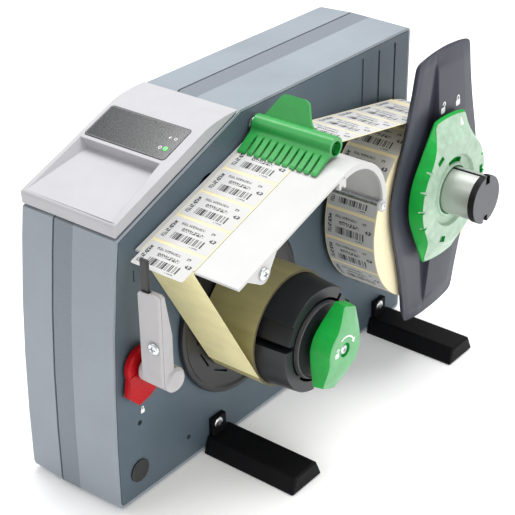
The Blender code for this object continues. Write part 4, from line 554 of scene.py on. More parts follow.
def bandSides(points, width):  # the two edges of a band of even width along a path
    left = []
    right = []
    for index, point in enumerate(points):
        along = Vector(points[min(index + 1, len(points) - 1)]) - Vector(points[max(index - 1, 0)])
        side = Vector((-along.y, along.x)).normalized() * width / 2
        left.append(tuple(Vector(point) + side))
        right.append(tuple(Vector(point) - side))
    return left, right


def stroke(points, width):
    left, right = bandSides(points, width)
    return left + right[::-1]


def circle(centre, radius, steps=24):
    return arc(centre, radius, 0, 2 * math.pi, steps)[:-1]


def roundedBox(low, high, radius, steps=5):
    quarter = math.pi / 2
    left, bottom, right, top = low[0] + radius, low[1] + radius, high[0] - radius, high[1] - radius
    corners = enumerate(((right, top), (left, top), (left, bottom), (right, bottom)))
    return [point for index, corner in corners for point in arc(corner, radius, index * quarter, (index + 1) * quarter, steps)]


def reach(outline, turn):  # how far an outline reaches from its middle in a direction
    across, up = math.cos(turn), math.sin(turn)
    best = 0
    for (ay, az), (by, bz) in sidesOf(outline):
        ey, ez = by - ay, bz - az
        scale = across * ez - up * ey
        if abs(scale) > 1e-12 and -1e-9 <= (ay * up - az * across) / scale <= 1 + 1e-9:
            best = max(best, (ay * ez - az * ey) / scale)
    return best


def plus(row, more):
    return [value + more for value in row]


def alignedRings(centre, steps, sections):  # sections of (x, radius), each a number or a list with one number for each step
    rings = []
    for section in sections:
        levels, reaches = (value if isinstance(value, list) else [value] * steps for value in section)
        rings.append([(x, *onCircle(centre, out, math.tau * step / steps)) for step, (x, out) in enumerate(zip(levels, reaches))])
    return rings


def newTree(name, inputs):  # a Geometry Nodes tree with one shape going in and one coming out
    tree = bpy.data.node_groups.new(name, "GeometryNodeTree")
    tree.interface.new_socket("Shape", in_out="INPUT", socket_type="NodeSocketGeometry")
    for label, kind in inputs:
        tree.interface.new_socket(label, in_out="INPUT", socket_type="NodeSocket" + kind)
    tree.interface.new_socket("Result", in_out="OUTPUT", socket_type="NodeSocketGeometry")
    return tree, tree.nodes.new("NodeGroupInput").outputs, tree.nodes.new("NodeGroupOutput").inputs


def closeTree(tree, shape, given, result):
    whole = treeNode(tree, "RealizeInstances", {0: shape})
    colored = treeNode(tree, "SetMaterial", {"Geometry": whole.outputs[0], "Material": given["Material"]})
    tree.links.new(colored.outputs[0], result[0])


def grow(holder, tree, values):  # runs a tree on a holder and gives back the plain mesh
    modifier = holder.modifiers.new(tree.name, "NODES")
    modifier.node_group = tree
    for item in tree.interface.items_tree:
        if item.item_type == "SOCKET" and item.in_out == "INPUT" and item.name in values:
            modifier[item.identifier] = values[item.name]
    return plainMesh(holder, holder.name)


def makeRoundTree():  # copies a shape round an axis along x
    tree, given, result = newTree("copiesRoundAxis", (
        ("Count", "Int"), ("Centre", "Vector"), ("Start", "Float"), ("Pitch", "Float"), ("Material", "Material")))
    index = treeNode(tree, "InputIndex").outputs[0]
    turn = calc(tree, "MULTIPLY_ADD", index, given["Pitch"], given["Start"])
    rotation = treeNode(tree, "CombineXYZ", {"X": turn})
    spots = treeNode(tree, "MeshLine", {"Count": given["Count"], "Start Location": given["Centre"], "Offset": (0, 0, 0)})
    copies = treeNode(tree, "InstanceOnPoints", {
        "Points": spots.outputs[0], "Instance": given["Shape"], "Rotation": rotation.outputs[0]})
    closeTree(tree, copies.outputs[0], given, result)
    return tree


def makeRowTree():  # copies a shape in a straight row
    tree, given, result = newTree("copiesInRow", (
        ("Count", "Int"), ("First", "Vector"), ("Step", "Vector"), ("Material", "Material")))
    spots = treeNode(tree, "MeshLine", {"Count": given["Count"], "Start Location": given["First"], "Offset": given["Step"]})
    copies = treeNode(tree, "InstanceOnPoints", {"Points": spots.outputs[0], "Instance": given["Shape"]})
    closeTree(tree, copies.outputs[0], given, result)
    return tree


def makeScrewTree():  # one screw head on every point that goes in
    tree, given, result = newTree("screwHeads", (
        ("Head", "Object"), ("Size", "Float"), ("Turn", "Vector"), ("Material", "Material")))
    head = treeNode(tree, "ObjectInfo", {"Object": given["Head"]})
    copies = treeNode(tree, "InstanceOnPoints", {
        "Points": given["Shape"], "Instance": head.outputs["Geometry"], "Rotation": given["Turn"], "Scale": given["Size"]})
    closeTree(tree, copies.outputs[0], given, result)
    return tree


def makeLabelTree():  # labels one after the other along a path, bent to it
    tree, given, result = newTree("labelsAlongPath", (
        ("Path", "Object"), ("Count", "Int"), ("Start", "Float"), ("Pitch", "Float"), ("Material", "Material")))
    first, step = (treeNode(tree, "CombineXYZ", {"Y": given[name]}) for name in ("Start", "Pitch"))
    spots = treeNode(tree, "MeshLine", {
        "Count": given["Count"], "Start Location": first.outputs[0], "Offset": step.outputs[0]})
    copies = treeNode(tree, "InstanceOnPoints", {"Points": spots.outputs[0], "Instance": given["Shape"]})
    flat = treeNode(tree, "RealizeInstances", {0: copies.outputs[0]})
    place = treeNode(tree, "SeparateXYZ", {0: treeNode(tree, "InputPosition").outputs[0]})
    path = treeNode(tree, "ObjectInfo", {"Object": given["Path"]})
    sample = treeNode(tree, "SampleCurve", {"Curves": path.outputs["Geometry"], "Length": place.outputs["Y"]}, mode="LENGTH")
    along = treeNode(tree, "SeparateXYZ", {0: sample.outputs["Tangent"]})
    lift = place.outputs["Z"]
    offset = treeNode(tree, "CombineXYZ", {
        "X": place.outputs["X"],
        "Y": calc(tree, "MULTIPLY", calc(tree, "MULTIPLY", along.outputs["Z"], -1.0), lift),
        "Z": calc(tree, "MULTIPLY", along.outputs["Y"], lift),
    })
    bent = treeNode(tree, "SetPosition", {
        "Geometry": flat.outputs[0], "Position": sample.outputs["Position"], "Offset": offset.outputs[0]})
    closeTree(tree, bent.outputs[0], given, result)
    return tree


roundTree = makeRoundTree()
rowTree = makeRowTree()
screwTree = makeScrewTree()
labelTree = makeLabelTree()


def rowVector(x, y, z):  # a length in millimetres as the row frame has it
    return tuple(mm * value for value in (x, y, z))


def rowPlace(x, y, z):
    return tuple(toRow @ Vector((x, y, z)))


cutTools = []


def combine(holder, tool, operation):  # the tool is an object, or a bmesh in millimetres
    if isinstance(tool, bmesh.types.BMesh):
        tool = meshOf(tool, "tool")
    modifier = holder.modifiers.new("combine", "BOOLEAN")
    modifier.operation = operation
    modifier.solver = "EXACT"
    modifier.object = tool
    tool.hide_render = True
    cutTools.append(tool)


def subtract(holder, tool):
    combine(holder, tool, "DIFFERENCE")


def unite(holder, tool):
    combine(holder, tool, "UNION")


def clearTools():  # the cutting shapes go once their cuts are made
    while cutTools:
        bpy.data.objects.remove(cutTools.pop())


# ---- housing and plate
for node, width in (("left_cover", 0.5), ("main_housing", 0.35), ("mounting_plate", 0.3)):
    refine(node, width, 2)
print("housing ready")

capShape = {
    "left": -83.8, "right": 0.0, "lipY": 2.0, "lipZ": 217.3, "bendY": 90.0, "bendZ": 251.0, "backY": 121.6, "backZ": 254.2,
    "seatFront": 207.9, "seatBack": 253.9, "edge": 1.1, "lipRound": 3.0,
    # tray: rear edge, floor and front edge, as (x, y, depth under the skin)
    "trayRear": ((-80.5, 54.0, 0.0), (-9.0, 54.0, 0.0)), "trayFloor": ((-77.0, 53.0, 7.8), (-15.0, 53.0, 7.8)),
    "trayFront": ((-80.5, 5.5, 0.0), (-4.5, 5.5, 0.0)),
}


def capPoint(x, y, lift):  # a point over the cap's slope
    rise = capShape["bendZ"] - capShape["lipZ"]
    run = capShape["bendY"] - capShape["lipY"]
    lean = math.atan2(rise, run)
    top = capShape["lipZ"] + rise / run * (y - capShape["lipY"])
    return (x, y - lift * math.sin(lean), top + lift * math.cos(lean))


panelShape = {
    "low": (-80.0, 57.0), "high": (-8.5, 85.5), "corner": 2.2, "thick": 0.8, "gap": 0.25, "borderInset": 0.5, "borderWide": 0.95,
    "borderLift": (0.03, 0.09), "lamp": (-14.5, 65.7), "lampRadius": 1.6, "lampForm": ((-0.2, 1), (0.45, 1), (0.8, 0.8), (0.95, 0.4)),
    "ringMarks": (((-19.2, 65.7), 1.25, 0.85), ((-13.7, 75.2), 1.1, 0.75)), "markLift": (0.03, 0.08),
    "crossMark": (((-19.6, 75.1), (-17.4, 75.1)), ((-18.5, 74.0), (-18.5, 76.2))), "markLine": 0.4,
}


def panelOutline(values, inset):
    low, high = ([value + side * inset for value in values[key]] for key, side in (("low", 1), ("high", -1)))
    return roundedBox(low, high, values["corner"] - inset)


def makeCap(values, panel):
    lip, lipY, lipZ, bendY, bendZ, backY, backZ = (
        values[key] for key in ("lipRound", "lipY", "lipZ", "bendY", "bendZ", "backY", "backZ"))
    outline = [
        (1.3, values["seatFront"]), (0.9, lipZ - lip), (1.1, lipZ - lip * 0.45), (1.7, lipZ - lip * 0.12),
        capPoint(0, lipY + lip * 0.3, 0)[1:], (bendY, bendZ), (bendY + 4, bendZ + 0.9), (bendY + 10, bendZ + 2.0),
        (backY - 12, backZ - 0.2), (backY, backZ), (backY, values["seatBack"] - 0.6),
    ]
    cap = meshOf(slab(outline, values["left"], values["right"]), "capShell")
    high = [capPoint(x, y, 30) for x, y, _ in values["trayRear"] + values["trayFront"]]
    low = [capPoint(x, y, -depth) for key in ("trayRear", "trayFloor", "trayFront") for x, y, depth in values[key]]
    subtract(cap, hull(high + low))
    subtract(cap, prism(capPoint, panelOutline(panel, -panel["gap"]), -panel["thick"] - 0.3, 4))
    dress(rounded(cap, "capShell", values["edge"], 4, 22), "capPlastic", "frame", ("control_cap",))
    clearTools()


def makePanel(values):
    sheet = prism(capPoint, panelOutline(values, 0), -values["thick"], 0.05)
    panel = rounded(meshOf(sheet, "panelSheet"), "panelSheet", 0.15, 2)
    dress(panel, "panelSheet", "frame", ("control_panel",))
    outer, inner = (panelOutline(values, values[key]) for key in ("borderInset", "borderWide"))
    border = meshOf(ringPrism(capPoint, outer, inner, *values["borderLift"]), "panelBorder")
    dress(border, "panelLine", "frame", ())
    lamp = [[capPoint(x, y, lift) for x, y in circle(values["lamp"], values["lampRadius"] * share)] for lift, share in values["lampForm"]]
    piece = meshOf(skin(lamp), "lampDome")
    smoothed(piece, 50)
    dress(piece, "lampGreen", "frame", ("status_led",))
    lift = values["markLift"]
    marks = [ringPrism(capPoint, circle(spot, outer), circle(spot, inner), *lift) for spot, outer, inner in values["ringMarks"]]
    marks += [prism(capPoint, stroke(line, values["markLine"]), *lift) for line in values["crossMark"]]
    dress(meshOf(joined(marks), "panelMarks"), "signWhite", "frame", ())


makeCap(capShape, panelShape)
makePanel(panelShape)
print("cap and panel ready")

# ---- feet, pads and the parts at the back
for node, width in (
    ("front_foot", 0.7), ("rear_foot", 0.7), ("hole_plug", 0.25), ("power_inlet", 0.3), ("power_switch", 0.25),
    ("front_pad", 0.3), ("rear_pad", 0.3),
):
    refine(node, width, 3)

screwShape = {"dome": 0.42, "edge": 0.18, "slotHalf": 0.11, "slotReach": 0.52, "slotDepth": 0.3, "steps": 48}


def makeScrewHead(values):  # radius one, standing on the plane x = 0 and looking to +x
    profile = [(-0.05, 0.001), (-0.05, 0.94), (0, 1.0), (values["edge"], 1.0), (values["edge"] + 0.1, 0.94),
               (values["dome"] * 0.86, 0.72), (values["dome"], 0.4), (values["dome"], 0.001)]
    head = shapeAtOrigin(spun(profile, (0, 0), values["steps"]), "screwHead")
    half, out, deep = values["slotHalf"], values["slotReach"], values["dome"] - values["slotDepth"]
    for turn in (0, math.pi / 2):
        bar = block((deep, -half, -out), (1, half, out))
        bar.transform(Matrix.Rotation(turn, 4, "X"))
        subtract(head, shapeAtOrigin(bar, "slotTool"))
    soften(head, 0.03, 2, 40)
    smoothed(head, 40)
    plain = plainMesh(head, "screwHead")
    clearTools()
    plain.hide_render = True
    return plain


screwHead = makeScrewHead(screwShape)


def setScrew(name, spot, size, body, node, turn=(0, 0, 0)):
    mesh = bpy.data.meshes.new(name)
    mesh.from_pydata([rowPlace(*spot)], [], [])
    screw = grow(link(name, mesh), screwTree, {
        "Head": screwHead, "Size": size, "Turn": turn, "Material": finishes["screwSteel"]})
    smoothed(screw, 40)
    dress(screw, "screwSteel", body, (node,))


for name in ("front_foot_screw", "rear_foot_screw"):
    middle = middleOf(name)
    setScrew(name + "Head", (nodeBox(name)[1].x - 2.3, middle.y, middle.z), 4.2, frame["nodes"][name]["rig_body"], name)
print("feet and screws ready")

# ---- dispensing table
tableShape = {"edge": 0.25, "barEdge": 0.3, "screwLift": 0.35, "screws": (("front_bar_screw", 4.4), ("rear_bar_screw", 2.6))}


def makeTable(values):
    refine("dispensing_table", values["edge"], 2)
    base = nodeBox("dispensing_table")[1].x + values["screwLift"]
    for name, size in values["screws"]:
        middle = middleOf(name)
        setScrew(name + "Head", (base, middle.y, middle.z), size, "frame", name)
    for name in ("front_bar", "rear_bar"):
        refine(name, values["barEdge"], 2)


makeTable(tableShape)
print("table ready")

# ---- label path: the paper from the roll over the arch to the peeling edge, and the liner back to the winder
tableSlope = math.radians(18)
nose = (17.85, 193.71)
noseRadius = 1.0
arch = (137.0, 193.0)
archRadius = 38.5
webValues = {
    "left": 5.0, "right": 50.0, "gap": 0.3, "paper": 0.11, "labelLift": 0.42, "pitch": 24.8, "firstLabel": 3.2,
    "beyond": 14.6, "rollRadius": 73.3, "rollLabels": 18, "rollStart": 3.0, "rollInner": 41.9, "coreInner": 38.1, "coreOuter": 41.5,
    "woundRadius": 42.8,
}


def axisOf(node):  # where an axis along x runs through the middle of a node
    middle = middleOf(node)
    return (middle.y, middle.z)


rollAxis = axisOf("label_roll")
winderAxis = axisOf("winder_flange")


def leavingAngle(first, firstRadius, second, secondRadius):  # a band with both circles on its left
    across = Vector(second) - Vector(first)
    return math.atan2(across.y, across.x) - math.acos((firstRadius - secondRadius) / across.length)


def upperPath(lift, beyond):  # from past the peeling edge up the table, over the arch and on to the roll
    topTurn = math.pi / 2 + tableSlope
    down = Vector((-math.cos(tableSlope), -math.sin(tableSlope)))
    edge = Vector(onCircle(nose, noseRadius + lift, topTurn))
    points = [tuple(edge + down * beyond)] if beyond else []
    points.append(tuple(edge))
    leave = leavingAngle(rollAxis, webValues["rollRadius"] + lift, arch, archRadius + lift)
    points += arc(arch, archRadius + lift, topTurn, leave, 40)
    points.append(onCircle(rollAxis, webValues["rollRadius"] + lift, leave))
    return points, leave


def ribbon(path, thick, left, right, name):  # a thin closed strip along a path of (y, z)
    rings = [[(left, *a), (right, *a), (right, *b), (left, *b)] for a, b in zip(*bandSides(path, thick))]
    return meshOf(skin(rings), name, 0.0001)


def pathCurve(points, name):
    data = bpy.data.curves.new(name, "CURVE")
    data.dimensions = "3D"
    spline = data.splines.new("POLY")
    spline.points.add(len(points) - 1)
    for target, (y, z) in zip(spline.points, points):
        place = toRow @ Vector((0, y, z))
        target.co = (0, place.y, place.z, 1)
    curve = link(name, data)
    curve.hide_render = True
    return curve


def labelSheet(values, name):  # one flat label at the origin: x across, y along, with its own millimetres as UV
    half = values["width"] / 2
    length, corner, thick = values["length"], values["corner"], values["thick"]
    stations = [corner * (1 - math.cos(math.pi / 2 * step / 4)) for step in range(5)]
    middle = [corner + (length - 2 * corner) * step / 8 for step in range(1, 8)]
    stations = stations + middle + [length - station for station in stations[::-1]]
    rings = []
    for station in stations:
        off = max(corner - station, corner - (length - station), 0)
        side = half - corner + math.sqrt(max(corner * corner - off * off, 0)) if off else half
        rings.append([(-side, station, 0), (-side, station, thick), (side, station, thick), (side, station, 0)])
    work = skin(rings)
    layer = work.loops.layers.uv.new("labelPlace")
    for face in work.faces:
        for loop in face.loops:
            loop[layer].uv = ((loop.vert.co.x + half) / 100, loop.vert.co.y / 100)
    return shapeAtOrigin(work, name)


def setLabels(name, points, count, start, body, stands):
    curve = pathCurve(points, name + "Path")
    sheet = labelSheet(labelPrint, name)
    middle = (webValues["left"] + webValues["right"]) / 2
    sheet.data.transform(Matrix.Translation((plateFace + middle * mm, 0, 0)))
    labels = grow(sheet, labelTree, {
        "Path": curve, "Count": count, "Start": start * mm, "Pitch": webValues["pitch"] * mm, "Material": finishes["printedLabel"]})
    labels.name = name
    dress(labels, "printedLabel", body, stands)
    bpy.data.objects.remove(curve)


def makeLabelPath(values):
    linerLift = values["gap"] + values["paper"] / 2
    left, right = values["left"], values["right"]
    web = ribbon(upperPath(linerLift, 0)[0], values["paper"], left, right, "labelLiner")
    smoothed(web, 30)
    dress(web, "gapPaper", "frame", ("label_web",))

    labelPath, leave = upperPath(values["labelLift"], values["beyond"])
    total = sum((Vector(a) - Vector(b)).length for a, b in zip(labelPath, labelPath[1:]))
    count = int((total - values["firstLabel"]) / values["pitch"])
    setLabels("webLabels", labelPath, count, values["firstLabel"], "frame", ("peeled_label",))

    band = noseRadius + linerLift
    wound = values["woundRadius"] + linerLift
    turnEnd = leavingAngle(nose, band, winderAxis, wound)
    start = math.pi / 2 + tableSlope + 0.6 / band
    while turnEnd < start:
        turnEnd += 2 * math.pi
    path = arc(nose, band, start, turnEnd, 12) + [onCircle(winderAxis, wound, turnEnd)]
    liner = ribbon(path, values["paper"], left, right, "bareLiner")
    smoothed(liner, 40)
    dress(liner, "linerPaper", "frame", ("liner_web",))
    return leave


def makeRoll(values, leave):
    radius, inner, left, right = (values[key] for key in ("rollRadius", "rollInner", "left", "right"))
    outer = radius - 0.25
    turned([(left, inner), (left, radius - 0.5), (left + 0.15, outer), (right - 0.15, outer), (right, radius - 0.5), (right, inner)],
           rollAxis, "labelRoll", "rollSide", "roll", ("label_roll",), 160, 30)
    path = [onCircle(rollAxis, outer, leave + 0.02 - 2 * math.pi * step / 160) for step in range(161)]
    setLabels("rollLabels", path, values["rollLabels"], values["rollStart"], "roll", ())
    inner, outer = values["coreInner"], values["coreOuter"]
    turned([(left + 0.1, inner), (left + 0.1, outer - 0.5), (left + 0.5, outer), (right - 0.5, outer), (right - 0.1, outer - 0.5),
            (right - 0.1, inner)], rollAxis, "cardCore", "coreCard", "roll", ("paper_core",))


makeRoll(webValues, makeLabelPath(webValues))
print("label path and roll ready")

# ---- winder
winderShape = {
    "flangeRadius": 63.4, "flangeBack": 0.9, "flangeFront": 3.5, "rim": 1.2, "rimWidth": 4.0, "hub": 6.3,
    "slots": 12, "slotRadius": 46.0, "slotLength": 16.0, "slotWidth": 1.6,
    "linerStart": 5.0, "linerEnd": 49.0, "linerInner": 41.1, "linerOuter": 42.8, "ringRadius": 27.4, "ringWall": 0.55,
    "coreRadius": 28.5, "coreDisc": 26.5, "coreStep": 1.4, "ribRadius": 34.5, "ribHalf": 2.75, "ribTurn": math.radians(56),
    # jaws: radii along x, then the angles of the round part and of the lower part behind it
    "jaw": ((0.0, 40.4), (0.5, 40.8), (45.0, 40.8), (68.4, 38.6), (69.1, 38.1)), "jawInner": 30.5, "jawStep": 3.2,
    "jawStart": math.radians(169), "jawMain": math.radians(92), "jawTail": math.radians(22), "lid": 2.2, "play": 1.8,
}


def makeDrum(values):  # three jaws round a core; each runs on a rib of the core and closes over it at the front
    start, end = nodeBox("drum_jaw_1")[0].x, nodeBox("drum_jaw_1")[1].x
    disc = end + values["coreStep"]
    radius, half = values["coreRadius"], values["ribHalf"]
    core = meshOf(spun([
        (start, values["hub"]), (start, radius), (end - 0.3, radius), (end, radius - 0.3), (end, values["coreDisc"]),
        (disc, values["coreDisc"]), (disc, values["hub"])], winderAxis), "drumCore")
    for index in range(3):
        first = values["jawStart"] + index * math.tau / 3
        tail = first + values["jawMain"]
        last = tail + values["jawTail"]
        place = Matrix.Translation((0, *winderAxis)) @ Matrix.Rotation(first + values["ribTurn"], 4, "X")
        rib = block((start, radius - 2, -half), (end - values["lid"] - 0.4, values["ribRadius"], half))
        rib.transform(place)
        unite(core, rib)
        rings = []
        for along, outer in values["jaw"]:
            loop = arc(winderAxis, outer, first, tail, 24) + arc(winderAxis, outer - values["jawStep"], tail, last, 6)
            loop += arc(winderAxis, values["jawInner"], last, first, 30)
            rings.append([(start + along, y, z) for y, z in loop])
        name = "drumJaw%d" % (index + 1)
        jaw = meshOf(skin(rings), name)
        way = block((start - 1, values["jawInner"] - 2, -half - 0.3),
                    (end - values["lid"], values["ribRadius"] + values["play"], half + 0.3))
        way.transform(place)
        subtract(jaw, way)
        node = "drum_jaw_%d" % (index + 1)
        dress(rounded(jaw, name, 0.35, 2, 34, 34), "drumBlack", frame["nodes"][node]["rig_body"], (node,))
    smoothed(core, 34)
    dress(plainMesh(core, "drumCore"), "drumBlack", "winder", ("drum_core",))
    clearTools()


def makeWinder(values):
    rim, back, front = values["flangeRadius"], values["flangeBack"], values["flangeFront"]
    top, inner = front + values["rim"], rim - values["rimWidth"]
    flange = meshOf(spun([
        (back, values["hub"]), (back, rim - 0.5), (back + 0.3, rim - 0.1), (back + 0.8, rim), (front + 0.6, rim),
        (top - 0.15, rim - 0.25), (top, rim - 0.8), (top, inner + 0.6), (top - 0.5, inner), (front, inner - 1.2),
        (front, values["hub"])], winderAxis, 160), "winderFlange")
    half, out = values["slotLength"] / 2, values["slotRadius"]
    slot = shapeAtOrigin(block((back - 1, -half, out), (front + 1, half, out + values["slotWidth"])), "flangeSlots")
    subtract(flange, grow(slot, roundTree, {
        "Count": values["slots"], "Centre": rowPlace(0, *winderAxis), "Start": 0.0,
        "Pitch": 2 * math.pi / values["slots"], "Material": finishes["blackGloss"]}))
    smoothed(flange, 30)
    flange = plainMesh(flange, "winderFlange")
    clearTools()
    dress(flange, "blackGloss", "winder", ("winder_flange",))

    start, end, inner, outer = (values[key] for key in ("linerStart", "linerEnd", "linerInner", "linerOuter"))
    wound = turned([
        (start, inner), (start, outer - 0.3), (start + 0.3, outer), (end - 0.3, outer), (end, outer - 0.3), (end, inner)],
        winderAxis, "woundLiner", ("woundPaper", "woundEdge"), "winder", ("wound_liner",))
    # the end ring that looks forward takes the dark finish, a painted shade along the wound edge
    paleFace(wound, end - 1, 0.3)
    makeDrum(values)
    outer, inner = values["ringRadius"], values["ringRadius"] - values["ringWall"]
    base = nodeBox("drum_core")[1].x
    turned([(base - 1.5, inner), (base - 1.5, outer), (base + 0.5, outer), (base + 0.8, outer - 0.3), (base + 0.8, inner)],
           winderAxis, "drumRing", "ringGrey", "winder", (), 96)


makeWinder(winderShape)


def between(first, last, steps):  # points from the first on, without the last
    return [tuple(a + (b - a) * step / steps for a, b in zip(first, last)) for step in range(steps)]


def knobOutline(values):  # a round hub with two opposite wings
    hub, wing, half = values["hub"], values["wing"], values["halfWidth"]
    spreadAngle = math.asin(half / wing)
    foot = spreadAngle + math.acos(hub / wing) * values["flank"]
    loop = []
    for turn in (values["turn"], values["turn"] + math.pi):
        left = onCircle((0, 0), wing, turn + spreadAngle)
        hubArc = arc((0, 0), hub, turn + foot, turn + math.pi - foot, 24)
        for step in range(12):  # the tip, straight or slightly round
            share = step / 6 - 1
            out = wing * (1 - values["tipHollow"] * (1 - share * share))
            loop.append(onCircle((0, 0), out, turn + spreadAngle * share))
        loop += between(left, hubArc[0], 6) + hubArc
        loop += between(hubArc[-1], onCircle((0, 0), wing, turn + math.pi - spreadAngle), 6)[1:]
    return smoothLoop(loop, 2)


winderKnob = {
    "hub": 19.5, "wing": 31.4, "halfWidth": 7.4, "tipHollow": 0.02, "turn": math.radians(66), "flank": 0.8,
    "collarStart": 75.0, "start": 79.0, "end": 94.8, "wingBack": 2.4, "wingDrop": 4.6, "hubShare": 0.9, "tipShare": 0.955,
    "flankDraft": 0, "flatRadius": 16.0, "socket": 5.2, "socketDepth": 2.0, "collar": 12.0, "screwSize": 3.6, "steps": 240,
}


def knobShape(values):  # the outline's reach by step, how far each step lies on a wing, the face's rim and its x
    outline = knobOutline(values)
    edge = [reach(outline, 2 * math.pi * step / values["steps"]) for step in range(values["steps"])]
    tip = values["wing"] * (1 - values["tipHollow"]) - 0.3
    wing = [max(0.0, min(1.0, (out - values["hub"]) / (tip - values["hub"]))) for out in edge]
    rise, draft = values["tipShare"] - values["hubShare"], values["flankDraft"]
    rim = [out * (values["hubShare"] + rise * on - draft * on * (1 - on)) for out, on in zip(edge, wing)]
    rimX = [values["end"] - values["wingDrop"] * on for on in wing]
    return edge, wing, rim, rimX


def makeWinderKnob(values):
    edge, wing, rim, rimX = knobShape(values)
    start, end, collar, socket, neck = (values[key] for key in ("start", "end", "collar", "socket", "collarStart"))
    deep = end - values["socketDepth"]
    back = [start + values["wingBack"] * on for on in wing]
    sections = [
        (start + 2.5, collar - 3.5), (neck, collar - 2), (neck, collar), (start, collar), (back, plus(edge, -0.5)),
        (plus(back, 0.5), edge), (plus(back, 2.5), [out * 0.995 for out in edge]), (plus(rimX, -1.0), plus(rim, 0.45)),
        (plus(rimX, -0.3), plus(rim, 0.1)), (rimX, plus(rim, -0.5)), (end, values["flatRadius"]), (end, socket + 0.3),
        (end - 0.3, socket), (deep, socket), (deep, 2.0), (start + 2.5, 2.0), (start + 2.5, collar - 3.5),
    ]
    knob = meshOf(skin(alignedRings(winderAxis, values["steps"], sections), False, False), "winderKnob")
    smoothed(knob, 24)
    # the knob's face that looks forward takes a paler green, a painted glare
    dress(knob, ("greenPlastic", "knobFace"), "winder_lock", ("winder_knob",))
    paleFace(knob, min(rimX) - 0.4, 0.5)
    for polygon in knob.data.polygons:  # the socket stays green
        if (fromRow @ polygon.center - Vector((0, *winderAxis))).yz.length < socket:
            polygon.material_index = 0
    setScrew("knobScrewHead", (deep, *winderAxis), values["screwSize"], "winder", "knob_screw")


makeWinderKnob(winderKnob)
print("winder ready")


# ---- supply tube with its end cap
supplyAxis = axisOf("tube_end_cap")
tubeShape = {
    "radius": 18.0, "inner": 16.0, "start": 0.3, "end": 97.7, "baseRadius": 30.0, "baseThick": 3.5, "grooveHalf": 1.5,
    "grooveDepth": 1.2, "capRadius": 18.9, "capThick": 2.4, "capRound": 0.3, "capBore": 15.6, "skirt": 3.2, "notchHalf": 2.8,
    "notchDepth": 6.0,
}


def makeTube(values):
    y, z = supplyAxis
    start, end, radius = values["start"], values["end"], values["radius"]
    base = start + values["baseThick"]
    profile = [
        (start, values["inner"]), (start, values["baseRadius"] - 0.4), (start + 0.4, values["baseRadius"]),
        (base - 0.4, values["baseRadius"]), (base, values["baseRadius"] - 0.4), (base, radius + 0.6), (base + 0.6, radius),
        (end - 0.3, radius), (end, radius - 0.3), (end, values["inner"]),
    ]
    tube = meshOf(spun(profile, supplyAxis, 128), "supplyTube")
    near, far = end + 0.3, end + 0.3 + values["capThick"]
    half = values["grooveHalf"]
    subtract(tube, block((base + 4, y - half, z + radius - values["grooveDepth"]), (end + 2, y + half, z + radius + 4)))
    fine = rounded(tube, "supplyTube", 0.15, 2, 40, 30)
    dress(fine, ("tubeAluminium", "grooveDark"), "frame", ("supply_tube",))
    clearTools()
    for polygon in fine.data.polygons:  # the floor of the groove is painted dark, a painted shade in the recess
        spot = fromRow @ polygon.center
        low = math.hypot(spot.y - y, spot.z - z) < radius - 0.25
        inside = abs(spot.y - y) < half + 0.3 and spot.z > z and base + 3 < spot.x < end - 1
        polygon.material_index = 1 if low and inside else 0

    cap, edge, bore = values["capRadius"], values["capRound"], values["capBore"]
    skirt = near - values["skirt"]
    profile = [
        (near - 5, 0.01), (near - 5, bore), (near, bore), (near, radius + 0.15), (skirt, radius + 0.15), (skirt, cap - edge),
        (skirt + edge, cap), (far - edge, cap), (far, cap - edge), (far, 0.01),
    ]
    lid = meshOf(spun(profile, supplyAxis, 128), "tubeLid")
    half = values["notchHalf"]
    for side in (-1, 1):
        low, high = sorted((z + side * (cap - values["notchDepth"]), z + side * (cap + 3)))
        subtract(lid, block((skirt - 1, y - half, low), (far + 1, y + half, high)))
    fine = rounded(lid, "tubeLid", 0.2, 2, 40, 30)
    dress(fine, ("capRim", "endCap"), "frame", ("tube_end_cap",))
    paleFace(fine, far - 0.5, 0.5)
    clearTools()


makeTube(tubeShape)
print("supply tube ready")

# ---- margin stop: a long plate with a raised spine and a hollow beside it
stopShape = {
    "halfLength": 109.5, "halfWidth": 60.5, "leftWidth": 59.4, "leftTaper": 0.07, "back": 50.8, "backInset": 3.8, "face": 55.8,
    "bore": 18.4, "round": 0.9, "rows": 96, "rim": 7.0, "rimRise": 0.4, "hollow": -3.6, "spineRise": 1.5, "hubRadius": 26.0,
    "hubRise": 7.0, "skew": 0.03, "upperEnd": -2.0,
    # width and length as shares, from the widest place to the tip
    "shares": ((1.0, 0.0), (0.985, 0.1), (0.93, 0.24), (0.78, 0.5), (0.66, 0.76), (0.61, 0.92), (0.57, 0.968), (0.36, 0.99), (0.12, 1.0)),
    # distance from the middle, then the places across of the soft edge, the crisp edge and the right fold
    "lines": (
        (0.0, -17.0, 0.0, 36.0), (52.0, -15.0, -2.2, 35.0), (66.0, -13.2, -3.6, 32.0), (98.5, -8.6, -7.4, 26.0),
        (110.0, -8.2, -7.8, 22.0)),
}


def stepped(table, value, column):  # straight steps between the rows of a table
    for low, high in zip(table, table[1:]):
        if value <= high[0]:
            share = (value - low[0]) / (high[0] - low[0])
            return low[column] + (high[column] - low[column]) * share
    return table[-1][column]


def stopOutline(values):
    right, left, high = values["halfWidth"], values["leftWidth"], values["halfLength"]
    shares = values["shares"]
    upper = [(y * right, z * high) for y, z in shares]
    upper += [(-y * left * (1 - values["leftTaper"] * z), z * high) for y, z in shares[:0:-1]]
    return smoothLoop(upper + [(-left, 0.0)] + [(y, -z) for y, z in upper[:0:-1]])


def distanceTo(outline, point):
    best = 1e9
    for (ay, az), (by, bz) in sidesOf(outline):
        ey, ez = by - ay, bz - az
        share = max(0, min(1, ((point[0] - ay) * ey + (point[1] - az) * ez) / max(ey * ey + ez * ez, 1e-12)))
        best = min(best, math.hypot(point[0] - ay - share * ey, point[1] - az - share * ez))
    return best


